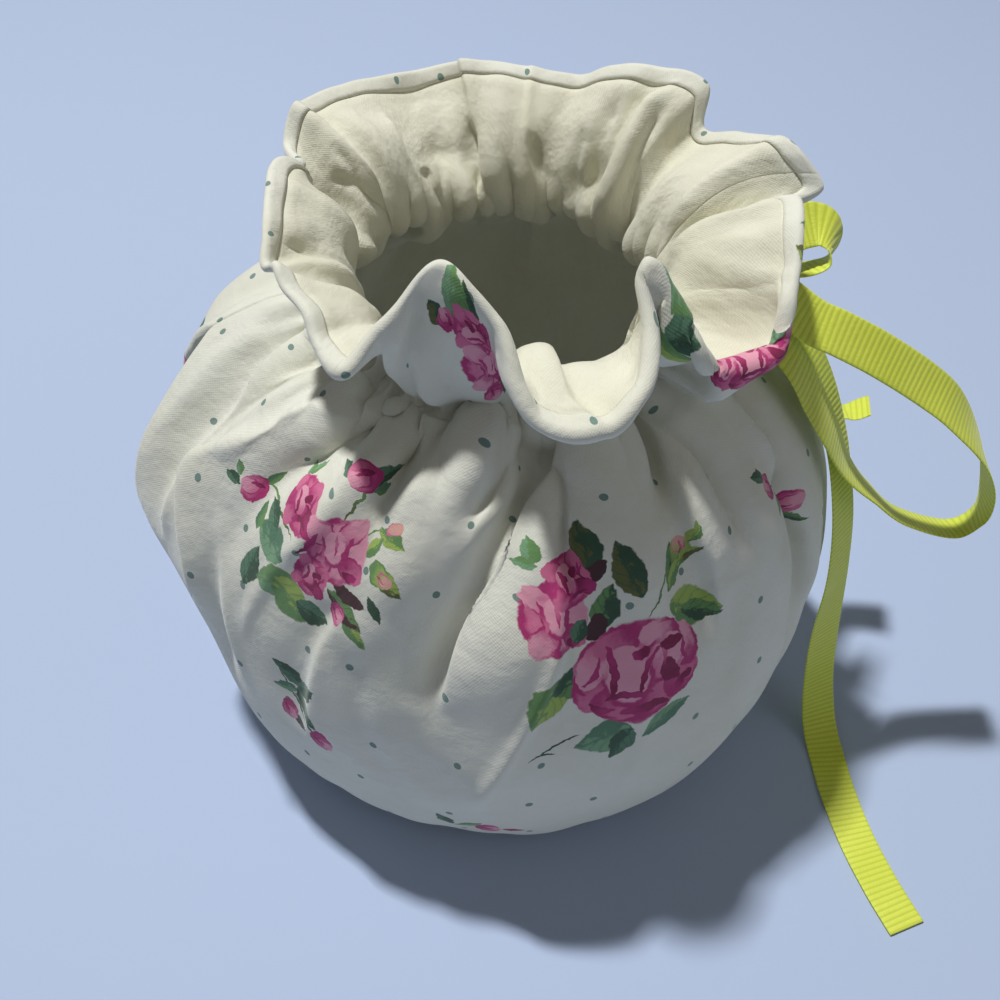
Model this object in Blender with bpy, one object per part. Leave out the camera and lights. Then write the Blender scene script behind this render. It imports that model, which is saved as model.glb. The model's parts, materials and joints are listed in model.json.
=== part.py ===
"""Drawstring tea cosy: printed cotton outside, plain lining in the frill, ribbon tied at the handle side.

Metres, +Z up. The origin is on the table, under the middle of the box round the cosy and its ribbon. The
spout hole faces -X, the handle slit and the ribbon face +X, and the front panel faces -Y.

Cloth is laid out by two numbers: an angle round the neck in degrees, counted from +X over +Y, and the
run of the cloth in millimetres from the inner edge of the hem (0) up the body to the neck, and on to the
rim of the frill. place() turns the two into a point in millimetres, measured from the foot of the neck's
axis, which stands at NECK_AXIS.
"""
import math

import bpy
import numpy as np

MM = 0.001
COLLECTION = "Tea cosy"

# Where the neck's axis meets the table, in mm. The ribbon puts it off the middle of the box round the whole.
NECK_AXIS = np.array([-13.6, 7.4, 0.0])

# Run of the cloth, in mm: hem turned under, lower body, upper body, frill.
HEM_RUN = 7.0
LOWER_RUN = 61.0
UPPER_RUN = 96.0
FRILL_RUN = 42.0
FOOT_AT = HEM_RUN
BELLY_AT = FOOT_AT + LOWER_RUN
NECK_AT = BELLY_AT + UPPER_RUN
RIM_AT = NECK_AT + FRILL_RUN

# Body, in mm.
HEM_RADIUS = 50.0
FOOT_RADIUS = 57.0
BELLY_RADIUS = 78.0
BELLY_HEIGHT = 52.0
NECK_RADIUS = 35.0
NECK_HEIGHT = 132.0
WIDEN = 0.02
FLATTEN = 0.06
ROUND_ABOVE = 70.0      # the body is wider than deep below this far under the neck

# The bend at the neck is rounded by averaging the cloth a little either side.
NECK_ROUNDING = 4.2
NECK_REACH = 9.0
ROUNDING_SHARES = ((-1.0, 0.15), (-0.5, 0.2), (0.0, 0.3), (0.5, 0.2), (1.0, 0.15))

# Cloth thickness, in mm. The two layers lie either side of one middle surface, a little apart.
LAYER_GAP = 0.75
COVER_THICK = 1.60
LINING_THICK = 1.20
COVER_FACE = LAYER_GAP / 2 + COVER_THICK

# How finely the cloth is cut: columns round each panel, and the runs of its rows.
COLUMNS = 34
BODY_RUNS = [0.0, 3.5, 7.0, 16.0, 30.0, 46.0, 62.0, 78.0, 94.0, 108.0, 120.0, 131.0, 141.0, 150.0, 158.0]
FRILL_RUNS = [164.0, 168.0, 174.0, 181.0, 188.0, 195.0, 201.0, 206.0]
SLOPE_RUN = 0.5         # the spans over which the cloth's slope is measured
SLOPE_DEG = 1.6

# Side seams: one passes through the spout hole and one through the handle slit. Each panel stops a little short.
SPOUT_DEG = 176.0
HANDLE_DEG = 8.0
SEAM_DEG = 0.40

# Bulges where the cloth stands off round the spout and the handle (mm, degrees).
BULGES = [
    # deg, height, out, half_width_deg, half_height
    {"deg": 180.0, "height": 88.0, "out": 15.5, "half_width": 19.0, "half_height": 28.0},
    {"deg": 8.0, "height": 80.0, "out": 3.0, "half_width": 20.0, "half_height": 30.0},
    {"deg": 160.0, "height": 116.0, "out": 7.0, "half_width": 18.0, "half_height": 14.0},
]

# Openings in the side seams: lens shapes between two runs of the cloth.
HOLES = {
    "spout": {"low": 60.0, "high": 130.0, "half_deg": 10.0},
    "handle": {"low": 46.0, "high": 124.0, "half_deg": 4.5},
}

# Soft folds of the body. Each runs from a top point to a foot point; depth is out (+) or in (-), in mm.
FOLD_RISE = 0.3         # a fold fades in over this share of its length before the top point
FOLD_END = 1.25         # and dies out over the last FOLD_FADE of it, a little past the foot point
FOLD_FADE = 0.6
NECK_FADE = 8.0
FOLD_KEYS = ("top_deg", "top_run", "foot_deg", "foot_run", "half_width", "depth")
FOLDS = [
    # front panel, from the spout side to the handle side
    (191.0, 152.0, 197.0, 96.0, 6.5, -3.5),
    (206.0, 156.0, 197.0, 114.0, 4.5, -3.5),
    (214.0, 154.0, 198.0, 112.0, 5.0, 3.0),
    (203.0, 112.0, 208.0, 76.0, 7.0, 2.0),
    (237.0, 160.0, 219.0, 122.0, 5.5, -4.0),
    (246.0, 158.0, 229.0, 116.0, 5.0, 2.5),
    (252.0, 161.0, 236.0, 110.0, 5.5, -4.5),
    (263.0, 158.0, 248.0, 102.0, 6.0, 3.0),
    (273.0, 158.0, 264.0, 134.0, 3.5, -3.5),
    (284.0, 161.0, 258.0, 92.0, 5.0, -6.0),
    (288.0, 156.0, 281.0, 124.0, 3.5, -3.0),
    (298.0, 158.0, 294.0, 104.0, 6.5, 3.0),
    (311.0, 160.0, 303.0, 130.0, 4.0, -4.5),
    (314.0, 156.0, 316.0, 114.0, 4.5, -3.5),
    (323.0, 156.0, 325.0, 100.0, 6.0, 2.5),
    (334.0, 156.0, 333.0, 70.0, 3.8, -6.0),
    (274.0, 104.0, 266.0, 62.0, 7.0, 2.5),
    # back panel, from the handle side to the spout side
    (20.0, 156.0, 27.0, 92.0, 5.0, -4.5),
    (34.0, 158.0, 38.0, 100.0, 6.0, 3.0),
    (47.0, 160.0, 45.0, 112.0, 5.0, -4.0),
    (71.0, 158.0, 79.0, 98.0, 6.0, -5.0),
    (84.0, 156.0, 92.0, 90.0, 7.0, 3.0),
    (97.0, 160.0, 92.0, 120.0, 4.5, -3.5),
    (118.0, 158.0, 125.0, 88.0, 6.0, -4.5),
    (131.0, 156.0, 134.0, 96.0, 6.0, 3.0),
    (144.0, 160.0, 139.0, 108.0, 5.0, -4.0),
    (165.0, 154.0, 168.0, 112.0, 5.0, -4.0),
]

# The rim of the frill, once round. neck_deg: where the line from the neck starts; the rim itself is at
# deg, radius, height. swell lifts the middle of that line up and in (+), or lets it belly out (-), in mm.
RIM_KEYS = ("neck_deg", "deg", "radius", "height", "swell")
RIM = [
    (-5.5, -2.0, 60.0, 158.5, 11.0),    # front-right lobe, upper corner
    (0.0, 1.5, 56.0, 154.5, 8.0),       # dip between the lobes
    (5.5, 5.5, 66.5, 155.5, 11.5),      # back-right lobe, tip
    (11.0, 10.0, 62.0, 162.0, 12.0),
    (21.0, 21.0, 54.0, 162.0, 11.0),
    (28.0, 30.0, 50.0, 159.0, 6.0),     # notch
    (35.0, 34.0, 53.0, 167.0, 9.0),     # back crest
    (47.0, 47.0, 49.0, 168.0, 9.0),
    (58.0, 59.0, 48.0, 165.0, 8.0),
    (68.0, 70.0, 48.0, 161.0, 7.0),     # shallow dip
    (88.0, 91.0, 49.0, 161.0, 8.0),
    (101.0, 102.0, 50.0, 162.0, 6.0),   # crease
    (108.0, 109.0, 53.0, 160.0, 8.0),
    (130.0, 131.0, 54.0, 161.0, 9.0),
    (146.0, 146.0, 55.0, 161.0, 9.0),   # back-left corner
    (155.0, 153.0, 53.0, 156.0, 5.0),
    (163.0, 162.0, 44.0, 158.0, -4.0),  # deep valley
    (172.0, 174.0, 47.0, 163.0, 9.0),   # left lobe
    (184.0, 190.0, 47.0, 164.0, 11.0),
    (196.0, 203.0, 49.0, 163.0, 11.0),
    (205.0, 211.0, 51.0, 160.0, 8.0),   # left corner
    (216.0, 225.0, 51.0, 159.0, 9.0),
    (232.0, 238.0, 56.0, 154.0, 11.0),  # low valley before the peak
    (240.5, 243.0, 47.5, 160.5, 1.0),
    (253.0, 255.0, 40.0, 173.0, -6.0),  # peak, standing up
    (264.0, 269.0, 46.0, 165.0, 2.0),
    (271.0, 273.0, 54.0, 156.0, 8.0),
    (277.0, 276.0, 58.0, 151.0, 13.0),  # front lobe
    (283.0, 282.0, 61.0, 149.0, 14.0),
    (289.0, 289.0, 61.0, 150.0, 12.0),
    (294.0, 295.0, 58.0, 154.0, 7.0),
    (299.5, 301.0, 49.5, 160.0, 3.0),
    (304.5, 303.5, 42.0, 167.5, -2.0),  # second peak
    (309.5, 309.5, 42.5, 168.5, -3.0),
    (314.5, 311.5, 52.5, 159.5, 5.0),
    (320.0, 316.0, 57.0, 155.0, 11.0),  # front-right lobe
    (333.0, 332.0, 63.0, 151.0, 12.0),
    (344.0, 343.0, 60.0, 156.0, 12.0),
]

# Ribbon, in mm.
RIBBON_WIDE = 10.0
RIBBON_THICK = 1.0
KNOT_AT = (46.8, 0.5, 137.4)
KNOT_SIZE = (16.0, 15.0, 11.0)
KNOT_WAIST = 0.15       # share by which the middle is drawn in
KNOT_WAIST_SPAN = 0.35

# Each row: a point of the ribbon's middle line (x, y, z), then the direction across the ribbon.
FRONT_LOOP = [
    (53.4, -3.8, 140.2, 0.10, 0.75, 0.58),
    (60.0, -6.5, 137.0, 0.25, 0.72, 0.58),
    (66.0, -8.0, 133.0, 0.42, 0.69, 0.58),
    (72.0, -9.0, 130.5, 0.45, 0.67, 0.58),
    (81.5, -10.0, 125.5, 0.45, 0.67, 0.58),
    (93.0, -11.0, 118.0, 0.45, 0.67, 0.50),
    (101.5, -12.0, 111.0, 0.40, 0.75, 0.30),
    (111.0, -13.0, 99.0, 0.25, 0.80, -0.20),
    (116.0, -14.0, 87.5, 0.10, 0.75, -0.55),
    (116.5, -15.0, 78.0, 0.05, 0.80, -0.55),
    (110.5, -16.0, 74.0, 0.00, 0.92, -0.38),
    (97.0, -16.0, 79.0, 0.00, 0.93, -0.36),
    (87.5, -16.0, 88.0, 0.15, 0.90, -0.36),
    (79.5, -17.0, 98.0, 0.35, 0.85, -0.30),
    (73.0, -17.5, 109.5, 0.50, 0.80, -0.20),
    (67.5, -16.0, 118.5, 0.55, 0.80, -0.10),
    (61.5, -13.5, 127.5, 0.45, 0.88, 0.00),
    (52.4, -7.4, 136.2, 0.70, 0.70, 0.00),
]
FRONT_TAIL = [
    (53.4, -1.0, 134.0, 0.20, 0.95, 0.05),
    (60.0, -3.0, 130.0, 0.40, 0.85, 0.05),
    (66.5, -5.0, 123.5, 0.55, 0.80, 0.00),
    (72.0, -7.5, 114.0, 0.60, 0.80, 0.00),
    (76.5, -10.5, 103.0, 0.60, 0.80, 0.00),
    (79.5, -14.0, 93.0, 0.60, 0.80, 0.00),
    (82.5, -18.0, 79.0, 0.65, 0.75, 0.00),
    (84.5, -21.0, 62.0, 0.70, 0.70, 0.00),
    (86.5, -22.0, 38.0, 0.85, 0.50, 0.00),
    (88.5, -25.0, 18.0, 0.90, 0.40, 0.00),
    (90.5, -30.0, 5.0, 0.95, 0.25, 0.00),
    (91.8, -37.0, 0.5, 0.97, 0.20, 0.00),
    (92.8, -50.0, 0.5, 0.97, 0.20, 0.00),
    (95.2, -64.0, 0.5, 0.96, 0.28, 0.00),
    (99.0, -77.0, 0.5, 0.93, 0.35, 0.00),
    (103.2, -88.0, 0.5, 0.93, 0.35, 0.00),
]
BACK_LOOP = [
    (53.0, 4.8, 140.4, -0.30, 0.60, 0.70),
    (60.5, 10.0, 142.5, 0.30, 0.60, 0.60),
    (67.5, 13.5, 142.5, 0.60, 0.50, 0.45),
    (71.0, 13.5, 141.0, 0.75, 0.45, 0.10),
    (72.8, 12.0, 137.5, 0.75, 0.45, -0.30),
    (71.0, 10.5, 134.8, 0.40, 0.65, -0.60),
    (66.5, 9.5, 133.5, 0.10, 0.80, -0.60),
    (60.0, 9.5, 134.0, 0.10, 0.95, -0.30),
    (52.6, 7.2, 137.6, -0.40, 0.85, -0.10),
]
BACK_TAIL = [
    (49.9, 7.9, 133.9, -0.75, 0.65, -0.10),
    (58.5, 13.5, 128.0, 0.10, 0.95, -0.20),
    (67.5, 17.5, 117.0, 0.00, 1.00, -0.10),
    (75.0, 20.0, 103.0, -0.05, 0.98, -0.20),
    (80.5, 21.5, 89.0, -0.10, 0.95, -0.30),
    (86.0, 21.0, 79.5, -0.15, 0.90, -0.36),
    (91.5, 20.5, 78.2, -0.20, 0.85, -0.39),
    (97.0, 20.0, 81.0, -0.20, 0.85, -0.39),
]
RIBBONS = {
    "ribbon_front_loop": {"table": FRONT_LOOP, "count": 42},
    "ribbon_front_tail": {"table": FRONT_TAIL, "count": 36},
    "ribbon_back_loop": {"table": BACK_LOOP, "count": 20},
    "ribbon_back_tail": {"table": BACK_TAIL, "count": 18},
}


def rows(keys, table):
    return [dict(zip(keys, line)) for line in table]


def turn(degrees):
    """The same angle, brought between -180 and 180."""
    return (degrees + 180.0) % 360.0 - 180.0


def hump(x):
    return np.exp(-x * x)


def soft_step(x):
    x = np.clip(x, 0.0, 1.0)
    return x * x * (3.0 - 2.0 * x)


def profile(run):
    """Radius and height of the smooth body at a run of the cloth, up to the neck."""
    low = np.clip((run - FOOT_AT) / LOWER_RUN, 0.0, 1.0) * math.pi / 2
    high = np.clip((run - BELLY_AT) / UPPER_RUN, 0.0, 1.0) * math.pi / 2
    radius = np.minimum(HEM_RADIUS + run, FOOT_RADIUS)
    radius = radius + (BELLY_RADIUS - FOOT_RADIUS) * np.sin(low)
    radius = radius - (BELLY_RADIUS - NECK_RADIUS) * (1.0 - np.cos(high))
    height = COVER_FACE + (BELLY_HEIGHT - COVER_FACE) * (1.0 - np.cos(low))
    height = height + (NECK_HEIGHT - BELLY_HEIGHT) * np.sin(high)
    return radius, height


def fold_depth(deg, run, radius):
    """How far the folds move the cloth off the smooth body."""
    total = np.zeros_like(deg)
    for fold in rows(FOLD_KEYS, FOLDS):
        along = (fold["top_run"] - run) / (fold["top_run"] - fold["foot_run"])
        centre = fold["top_deg"] + turn(fold["foot_deg"] - fold["top_deg"]) * np.clip(along, 0.0, 1.0)
        across = np.radians(turn(deg - centre)) * radius
        fade = soft_step((FOLD_END - along) / FOLD_FADE) * soft_step(1.0 + along / FOLD_RISE)
        total = total + fold["depth"] * fade * hump(across / fold["half_width"])
    return total * soft_step((NECK_AT - run) / NECK_FADE)


def body_point(deg, run):
    run = np.clip(run, 0.0, NECK_AT)
    radius, height = profile(run)
    ahead_radius, ahead_height = profile(np.minimum(run + SLOPE_RUN, NECK_AT))
    back_radius, back_height = profile(np.maximum(run - SLOPE_RUN, 0.0))
    rise, spread = ahead_height - back_height, ahead_radius - back_radius
    length = np.hypot(rise, spread)
    out, up = rise / length, -spread / length
    lift = fold_depth(deg, run, radius)
    for bulge in BULGES:
        shape = hump(turn(deg - bulge["deg"]) / bulge["half_width"])
        radius = radius + bulge["out"] * shape * hump((height - bulge["height"]) / bulge["half_height"])
    radius = radius + lift * out
    height = height + lift * up
    angle = np.radians(deg)
    below_neck = soft_step((NECK_AT - run) / ROUND_ABOVE)
    wide = radius * (1.0 + WIDEN * below_neck)
    deep = radius * (1.0 - FLATTEN * below_neck)
    return np.stack([wide * np.cos(angle), deep * np.sin(angle), height], axis=-1)


def rim_table():
    """The rim's rows as arrays, with a few rows repeated at both ends so that the loop closes."""
    rim = rows(RIM_KEYS, RIM)
    neck = np.array([row["neck_deg"] for row in rim])
    angle = np.radians([row["deg"] for row in rim])
    radius = np.array([row["radius"] for row in rim])
    height = np.array([row["height"] for row in rim])
    swell = np.array([row["swell"] for row in rim])
    data = np.stack([radius * np.cos(angle), radius * np.sin(angle), height, swell], axis=-1)
    neck = np.concatenate([neck[-3:] - 360.0, neck, neck[:3] + 360.0])
    return neck, np.concatenate([data[-3:], data, data[:3]])


def rim_at(deg):
    """Rim point and swell at a neck angle: a smooth curve through the rows."""
    knots, data = rim_table()
    deg = (np.asarray(deg) - knots[3]) % 360.0 + knots[3]
    slope = np.zeros_like(data)
    slope[1:-1] = (data[2:] - data[:-2]) / (knots[2:] - knots[:-2])[:, None]
    i = np.clip(np.searchsorted(knots, deg, side="right") - 1, 1, len(knots) - 3)
    width = knots[i + 1] - knots[i]
    s = ((deg - knots[i]) / width)[..., None]
    width = width[..., None]
    value = (2 * s**3 - 3 * s**2 + 1) * data[i] + (s**3 - 2 * s**2 + s) * width * slope[i]
    value = value + (3 * s**2 - 2 * s**3) * data[i + 1] + (s**3 - s**2) * width * slope[i + 1]
    return value[..., :3], value[..., 3:]


def frill_point(deg, run):
    """From the neck up and over to the rim."""
    angle = np.radians(deg)
    neck = body_point(deg, np.full_like(deg, NECK_AT))
    rim, swell = rim_at(deg)
    chord = rim - neck
    chord = chord / np.linalg.norm(chord, axis=-1, keepdims=True)
    along_neck = np.stack([-np.sin(angle), np.cos(angle), np.zeros_like(angle)], axis=-1)
    up_in = np.cross(chord, along_neck)
    bend = (neck + rim) / 2 + 2.0 * swell * up_in
    t = ((run - NECK_AT) / FRILL_RUN)[..., None]
    return (1 - t) ** 2 * neck + 2 * t * (1 - t) * bend + t**2 * rim


def raw_point(deg, run):
    body = body_point(deg, run)
    frill = frill_point(deg, run)
    return np.where((run > NECK_AT)[..., None], frill, body)


def place(deg, run):
    """A point of the middle surface, in mm, with the bend at the neck rounded off."""
    deg, run = np.broadcast_arrays(np.asarray(deg, float), np.asarray(run, float))
    reach = NECK_ROUNDING * hump((run - NECK_AT) / NECK_REACH)
    return sum(share * raw_point(deg, run + offset * reach) for offset, share in ROUNDING_SHARES)


def normal(deg, run):
    """The direction out of the cloth on its printed side."""
    high, low = np.minimum(run + SLOPE_RUN, RIM_AT), np.maximum(run - SLOPE_RUN, 0.0)
    side = place(deg + SLOPE_DEG, run) - place(deg - SLOPE_DEG, run)
    up = place(deg, high) - place(deg, low)
    out = np.cross(side, up)
    return out / np.linalg.norm(out, axis=-1, keepdims=True)


def hole_half_angle(name, run):
    hole = HOLES[name]
    share = np.clip((run - hole["low"]) / (hole["high"] - hole["low"]), 0.0, 1.0)
    return hole["half_deg"] * np.sin(math.pi * share)


def panel_edges(side, run):
    """Where a panel starts and ends round the neck, at each run of the cloth."""
    spout = SEAM_DEG + hole_half_angle("spout", run)
    handle = SEAM_DEG + hole_half_angle("handle", run)
    if side == "front":
        return SPOUT_DEG + spout, HANDLE_DEG + 360.0 - handle
    return HANDLE_DEG + handle, SPOUT_DEG - spout


def sheet_solid(name, columns, runs, side, near, far, material):
    """One closed sheet between two offsets from the middle surface, near and far, in mm."""
    run = np.asarray(runs)[:, None]
    start, end = panel_edges(side, run)
    share = np.linspace(0.0, 1.0, columns + 1)[None, :]
    deg = start + (end - start) * share
    run = np.broadcast_to(run, deg.shape)
    middle, out = place(deg, run), normal(deg, run)
    layers = [middle + offset * out for offset in (far, near)]
    count = deg.size
    verts = np.concatenate([layer.reshape(-1, 3) for layer in layers])
    index = np.arange(count).reshape(deg.shape)
    faces = []
    for j in range(index.shape[0] - 1):
        for i in range(index.shape[1] - 1):
            a, b, c, d = index[j, i], index[j, i + 1], index[j + 1, i + 1], index[j + 1, i]
            faces += [(a, b, c), (a, c, d)]
            faces += [(a + count, c + count, b + count), (a + count, d + count, c + count)]
    edge = list(index[0, :]) + list(index[1:, -1]) + list(index[-1, -2::-1]) + list(index[-2:0:-1, 0])
    for a, b in zip(edge, edge[1:] + edge[:1]):
        faces.append((b, a, a + count, b + count))
    return add_mesh(name, verts, faces, material)


def add_mesh(name, verts, faces, material):
    """A piece from points in mm, measured from the foot of the neck's axis."""
    mesh = bpy.data.meshes.new(name)
    points = [tuple(point) for point in (verts + NECK_AXIS) * MM]
    mesh.from_pydata(points, [], [tuple(int(k) for k in face) for face in faces])
    mesh.materials.append(material)
    mesh.shade_smooth()
    mesh.update()
    piece = bpy.data.objects.new(name, mesh)
    bpy.data.collections[COLLECTION].objects.link(piece)
    return piece


def make_material(name, colour, roughness):
    material = bpy.data.materials.new(name)
    material.use_nodes = True
    shader = material.node_tree.nodes["Principled BSDF"]
    shader.inputs["Base Color"].default_value = (*colour, 1.0)
    shader.inputs["Roughness"].default_value = roughness
    return material


def smooth_path(points, count):
    """Points spread along a smooth curve through the rows of a table."""
    points = np.array(points, float)
    padded = np.concatenate([2 * points[:1] - points[1:2], points, 2 * points[-1:] - points[-2:-1]])
    place_along = np.linspace(0.0, len(points) - 1.0, count)
    i = np.minimum(place_along.astype(int), len(points) - 2)
    s = (place_along - i)[:, None]
    a, b, c, d = padded[i], padded[i + 1], padded[i + 2], padded[i + 3]
    return 0.5 * (2 * b + (c - a) * s + (2 * a - 5 * b + 4 * c - d) * s**2 + (3 * b - a - 3 * c + d) * s**3)


def ribbon_solid(name, table, count, material):
    """A flat strip whose rows give its middle line and the direction across it."""
    line = smooth_path([row[:3] for row in table], count)
    across = smooth_path([row[3:] for row in table], count)
    line[:, 2] = np.maximum(line[:, 2], RIBBON_THICK / 2)
    along = np.gradient(line, axis=0)
    along /= np.linalg.norm(along, axis=1, keepdims=True)
    across -= along * np.sum(across * along, axis=1, keepdims=True)
    across /= np.linalg.norm(across, axis=1, keepdims=True)
    face = np.cross(along, across)
    half_wide, half_thick = across * RIBBON_WIDE / 2, face * RIBBON_THICK / 2
    corners = [line - half_wide - half_thick, line + half_wide - half_thick,
               line + half_wide + half_thick, line - half_wide + half_thick]
    verts = np.stack(corners, axis=1).reshape(-1, 3)
    faces = [(3, 2, 1, 0)]
    for k in range(count - 1):
        for j in range(4):
            a, b = 4 * k + j, 4 * k + (j + 1) % 4
            faces.append((a, b, b + 4, a + 4))
    last = 4 * (count - 1)
    faces.append((last, last + 1, last + 2, last + 3))
    piece = add_mesh(name, verts, faces, material)
    piece.data.shade_flat()
    return piece


def knot_solid(name, material):
    """The knot: a rounded lump drawn in at its waist."""
    bpy.ops.mesh.primitive_uv_sphere_add(segments=14, ring_count=8, radius=1.0)
    piece = bpy.context.object
    piece.name = piece.data.name = name
    for vert in piece.data.vertices:
        x, y, z = vert.co
        waist = 1.0 - KNOT_WAIST * hump(y / KNOT_WAIST_SPAN)
        scaled = (x * KNOT_SIZE[0] / 2 * waist, y * KNOT_SIZE[1] / 2, z * KNOT_SIZE[2] / 2 * waist)
        vert.co = [sum(parts) * MM for parts in zip(NECK_AXIS, KNOT_AT, scaled)]
    piece.data.materials.append(material)
    piece.data.shade_smooth()
    for owner in list(piece.users_collection):
        owner.objects.unlink(piece)
    bpy.data.collections[COLLECTION].objects.link(piece)
    return piece


def main():
    for old in list(bpy.data.objects):
        bpy.data.objects.remove(old, do_unlink=True)
    bpy.context.scene.collection.children.link(bpy.data.collections.new(COLLECTION))
    printed = make_material("printed_cotton", (0.86, 0.85, 0.78), 0.9)
    plain = make_material("cream_lining", (0.80, 0.77, 0.62), 0.9)
    for side in ("front", "back"):
        sheet_solid("cover_" + side, COLUMNS, BODY_RUNS + FRILL_RUNS, side, LAYER_GAP / 2, COVER_FACE, printed)
        sheet_solid("lining_" + side, COLUMNS, BODY_RUNS[-1:] + FRILL_RUNS, side, -LAYER_GAP / 2 - LINING_THICK,
                    -LAYER_GAP / 2, plain)
    yellow = make_material("grosgrain_ribbon", (0.72, 0.80, 0.05), 0.6)
    for name, ribbon in RIBBONS.items():
        ribbon_solid(name, ribbon["table"], ribbon["count"], yellow)
    knot_solid("ribbon_knot", yellow)


main()
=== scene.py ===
"""Looks of the tea cosy: printed cotton with a plain lining, gathered at the neck, and a tied grosgrain ribbon.

The cloth is laid out as in the solids, by an angle round the neck in degrees, counted from +X over +Y, and
the run of the cloth in millimetres, from the hem's inner edge (0) to the rim of the frill.
"""
import json
import math

import bmesh
import bpy
import mathutils
import numpy as np
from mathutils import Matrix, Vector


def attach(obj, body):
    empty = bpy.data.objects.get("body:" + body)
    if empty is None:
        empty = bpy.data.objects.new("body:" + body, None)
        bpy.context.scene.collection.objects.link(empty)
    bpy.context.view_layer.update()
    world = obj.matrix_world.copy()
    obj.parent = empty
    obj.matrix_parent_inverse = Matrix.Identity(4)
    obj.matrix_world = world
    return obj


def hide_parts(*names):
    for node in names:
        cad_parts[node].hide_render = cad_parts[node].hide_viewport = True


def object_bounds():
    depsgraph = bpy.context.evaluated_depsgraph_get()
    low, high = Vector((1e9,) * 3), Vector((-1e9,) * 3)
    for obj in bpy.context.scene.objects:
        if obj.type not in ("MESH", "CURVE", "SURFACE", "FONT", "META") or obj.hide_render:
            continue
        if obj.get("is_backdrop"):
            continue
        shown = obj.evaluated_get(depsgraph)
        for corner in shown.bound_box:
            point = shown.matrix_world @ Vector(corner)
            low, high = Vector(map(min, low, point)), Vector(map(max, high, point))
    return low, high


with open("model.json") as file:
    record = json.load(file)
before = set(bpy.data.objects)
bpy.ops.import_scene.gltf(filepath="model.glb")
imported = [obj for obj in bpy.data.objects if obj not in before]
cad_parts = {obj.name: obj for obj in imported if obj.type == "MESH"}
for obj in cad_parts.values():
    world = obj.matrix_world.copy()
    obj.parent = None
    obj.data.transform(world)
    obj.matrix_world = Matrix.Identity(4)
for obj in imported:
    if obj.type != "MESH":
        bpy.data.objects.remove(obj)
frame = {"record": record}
cad_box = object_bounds()

MM = 0.001
CLOTH_MAP = "cloth"     # the cloth laid flat, in mm
BAKE_MAP = "OFBake"

# Run of the cloth, in mm: hem turned under, lower body, upper body, frill.
HEM_RUN = 7.0
LOWER_RUN = 61.0
UPPER_RUN = 96.0
FRILL_RUN = 42.0
FOOT_AT = HEM_RUN
BELLY_AT = FOOT_AT + LOWER_RUN
NECK_AT = BELLY_AT + UPPER_RUN
RIM_AT = NECK_AT + FRILL_RUN

# Body, in mm.
HEM_RADIUS = 50.0
FOOT_RADIUS = 57.0
BELLY_RADIUS = 78.0
BELLY_HEIGHT = 52.0
NECK_RADIUS = 35.0
NECK_HEIGHT = 132.0
WIDEN = 0.02
FLATTEN = 0.06
ROUND_ABOVE = 70.0

# The bend at the neck is rounded by averaging the cloth a little either side.
NECK_ROUNDING = 4.2
NECK_REACH = 9.0
ROUNDING_SHARES = ((-1.0, 0.15), (-0.5, 0.2), (0.0, 0.3), (0.5, 0.2), (1.0, 0.15))

# The cloth's two faces stand this far off the middle surface, in mm. MIDDLE and HALF give its rounded edges.
PRINT_FACE = 1.975
LINING_FACE = 1.3
MIDDLE = (PRINT_FACE - LINING_FACE) / 2
HALF = (PRINT_FACE + LINING_FACE) / 2

# The neck's axis is level with the mount on the hem, which lies on the front of the hem's flat.
HEM_MOUNT = frame["record"]["mounts"][0]["pos_m"]
MOUNT_OUT = 50.3
NECK_AXIS = np.array([HEM_MOUNT[0] / MM, HEM_MOUNT[1] / MM + MOUNT_OUT, 0.0])

# Side seams, through the spout hole and the handle slit.
SPOUT_DEG = 176.0
HANDLE_DEG = 8.0
SEAM_DEG = -0.25        # the panels meet a little past each other

# Flat sizes: one degree of the cloth is CLOTH_ROUND / 360 mm wide before it is gathered.
CLOTH_ROUND = 490.0
MM_PER_DEG = CLOTH_ROUND / 360.0

# Where the cloth stands out over the pot: angle and height of the middle, how far out in mm, then half of the
# bulge's width in degrees and of its height.
BULGES = [(180, 88, 15.5, 19, 28), (8, 80, 3, 20, 30), (160, 116, 7, 18, 14)]

# Each opening's lowest and highest run, and half of its width in degrees.
HOLES = {"spout": (60, 130, 10), "handle": (46, 124, 4.5)}

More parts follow.
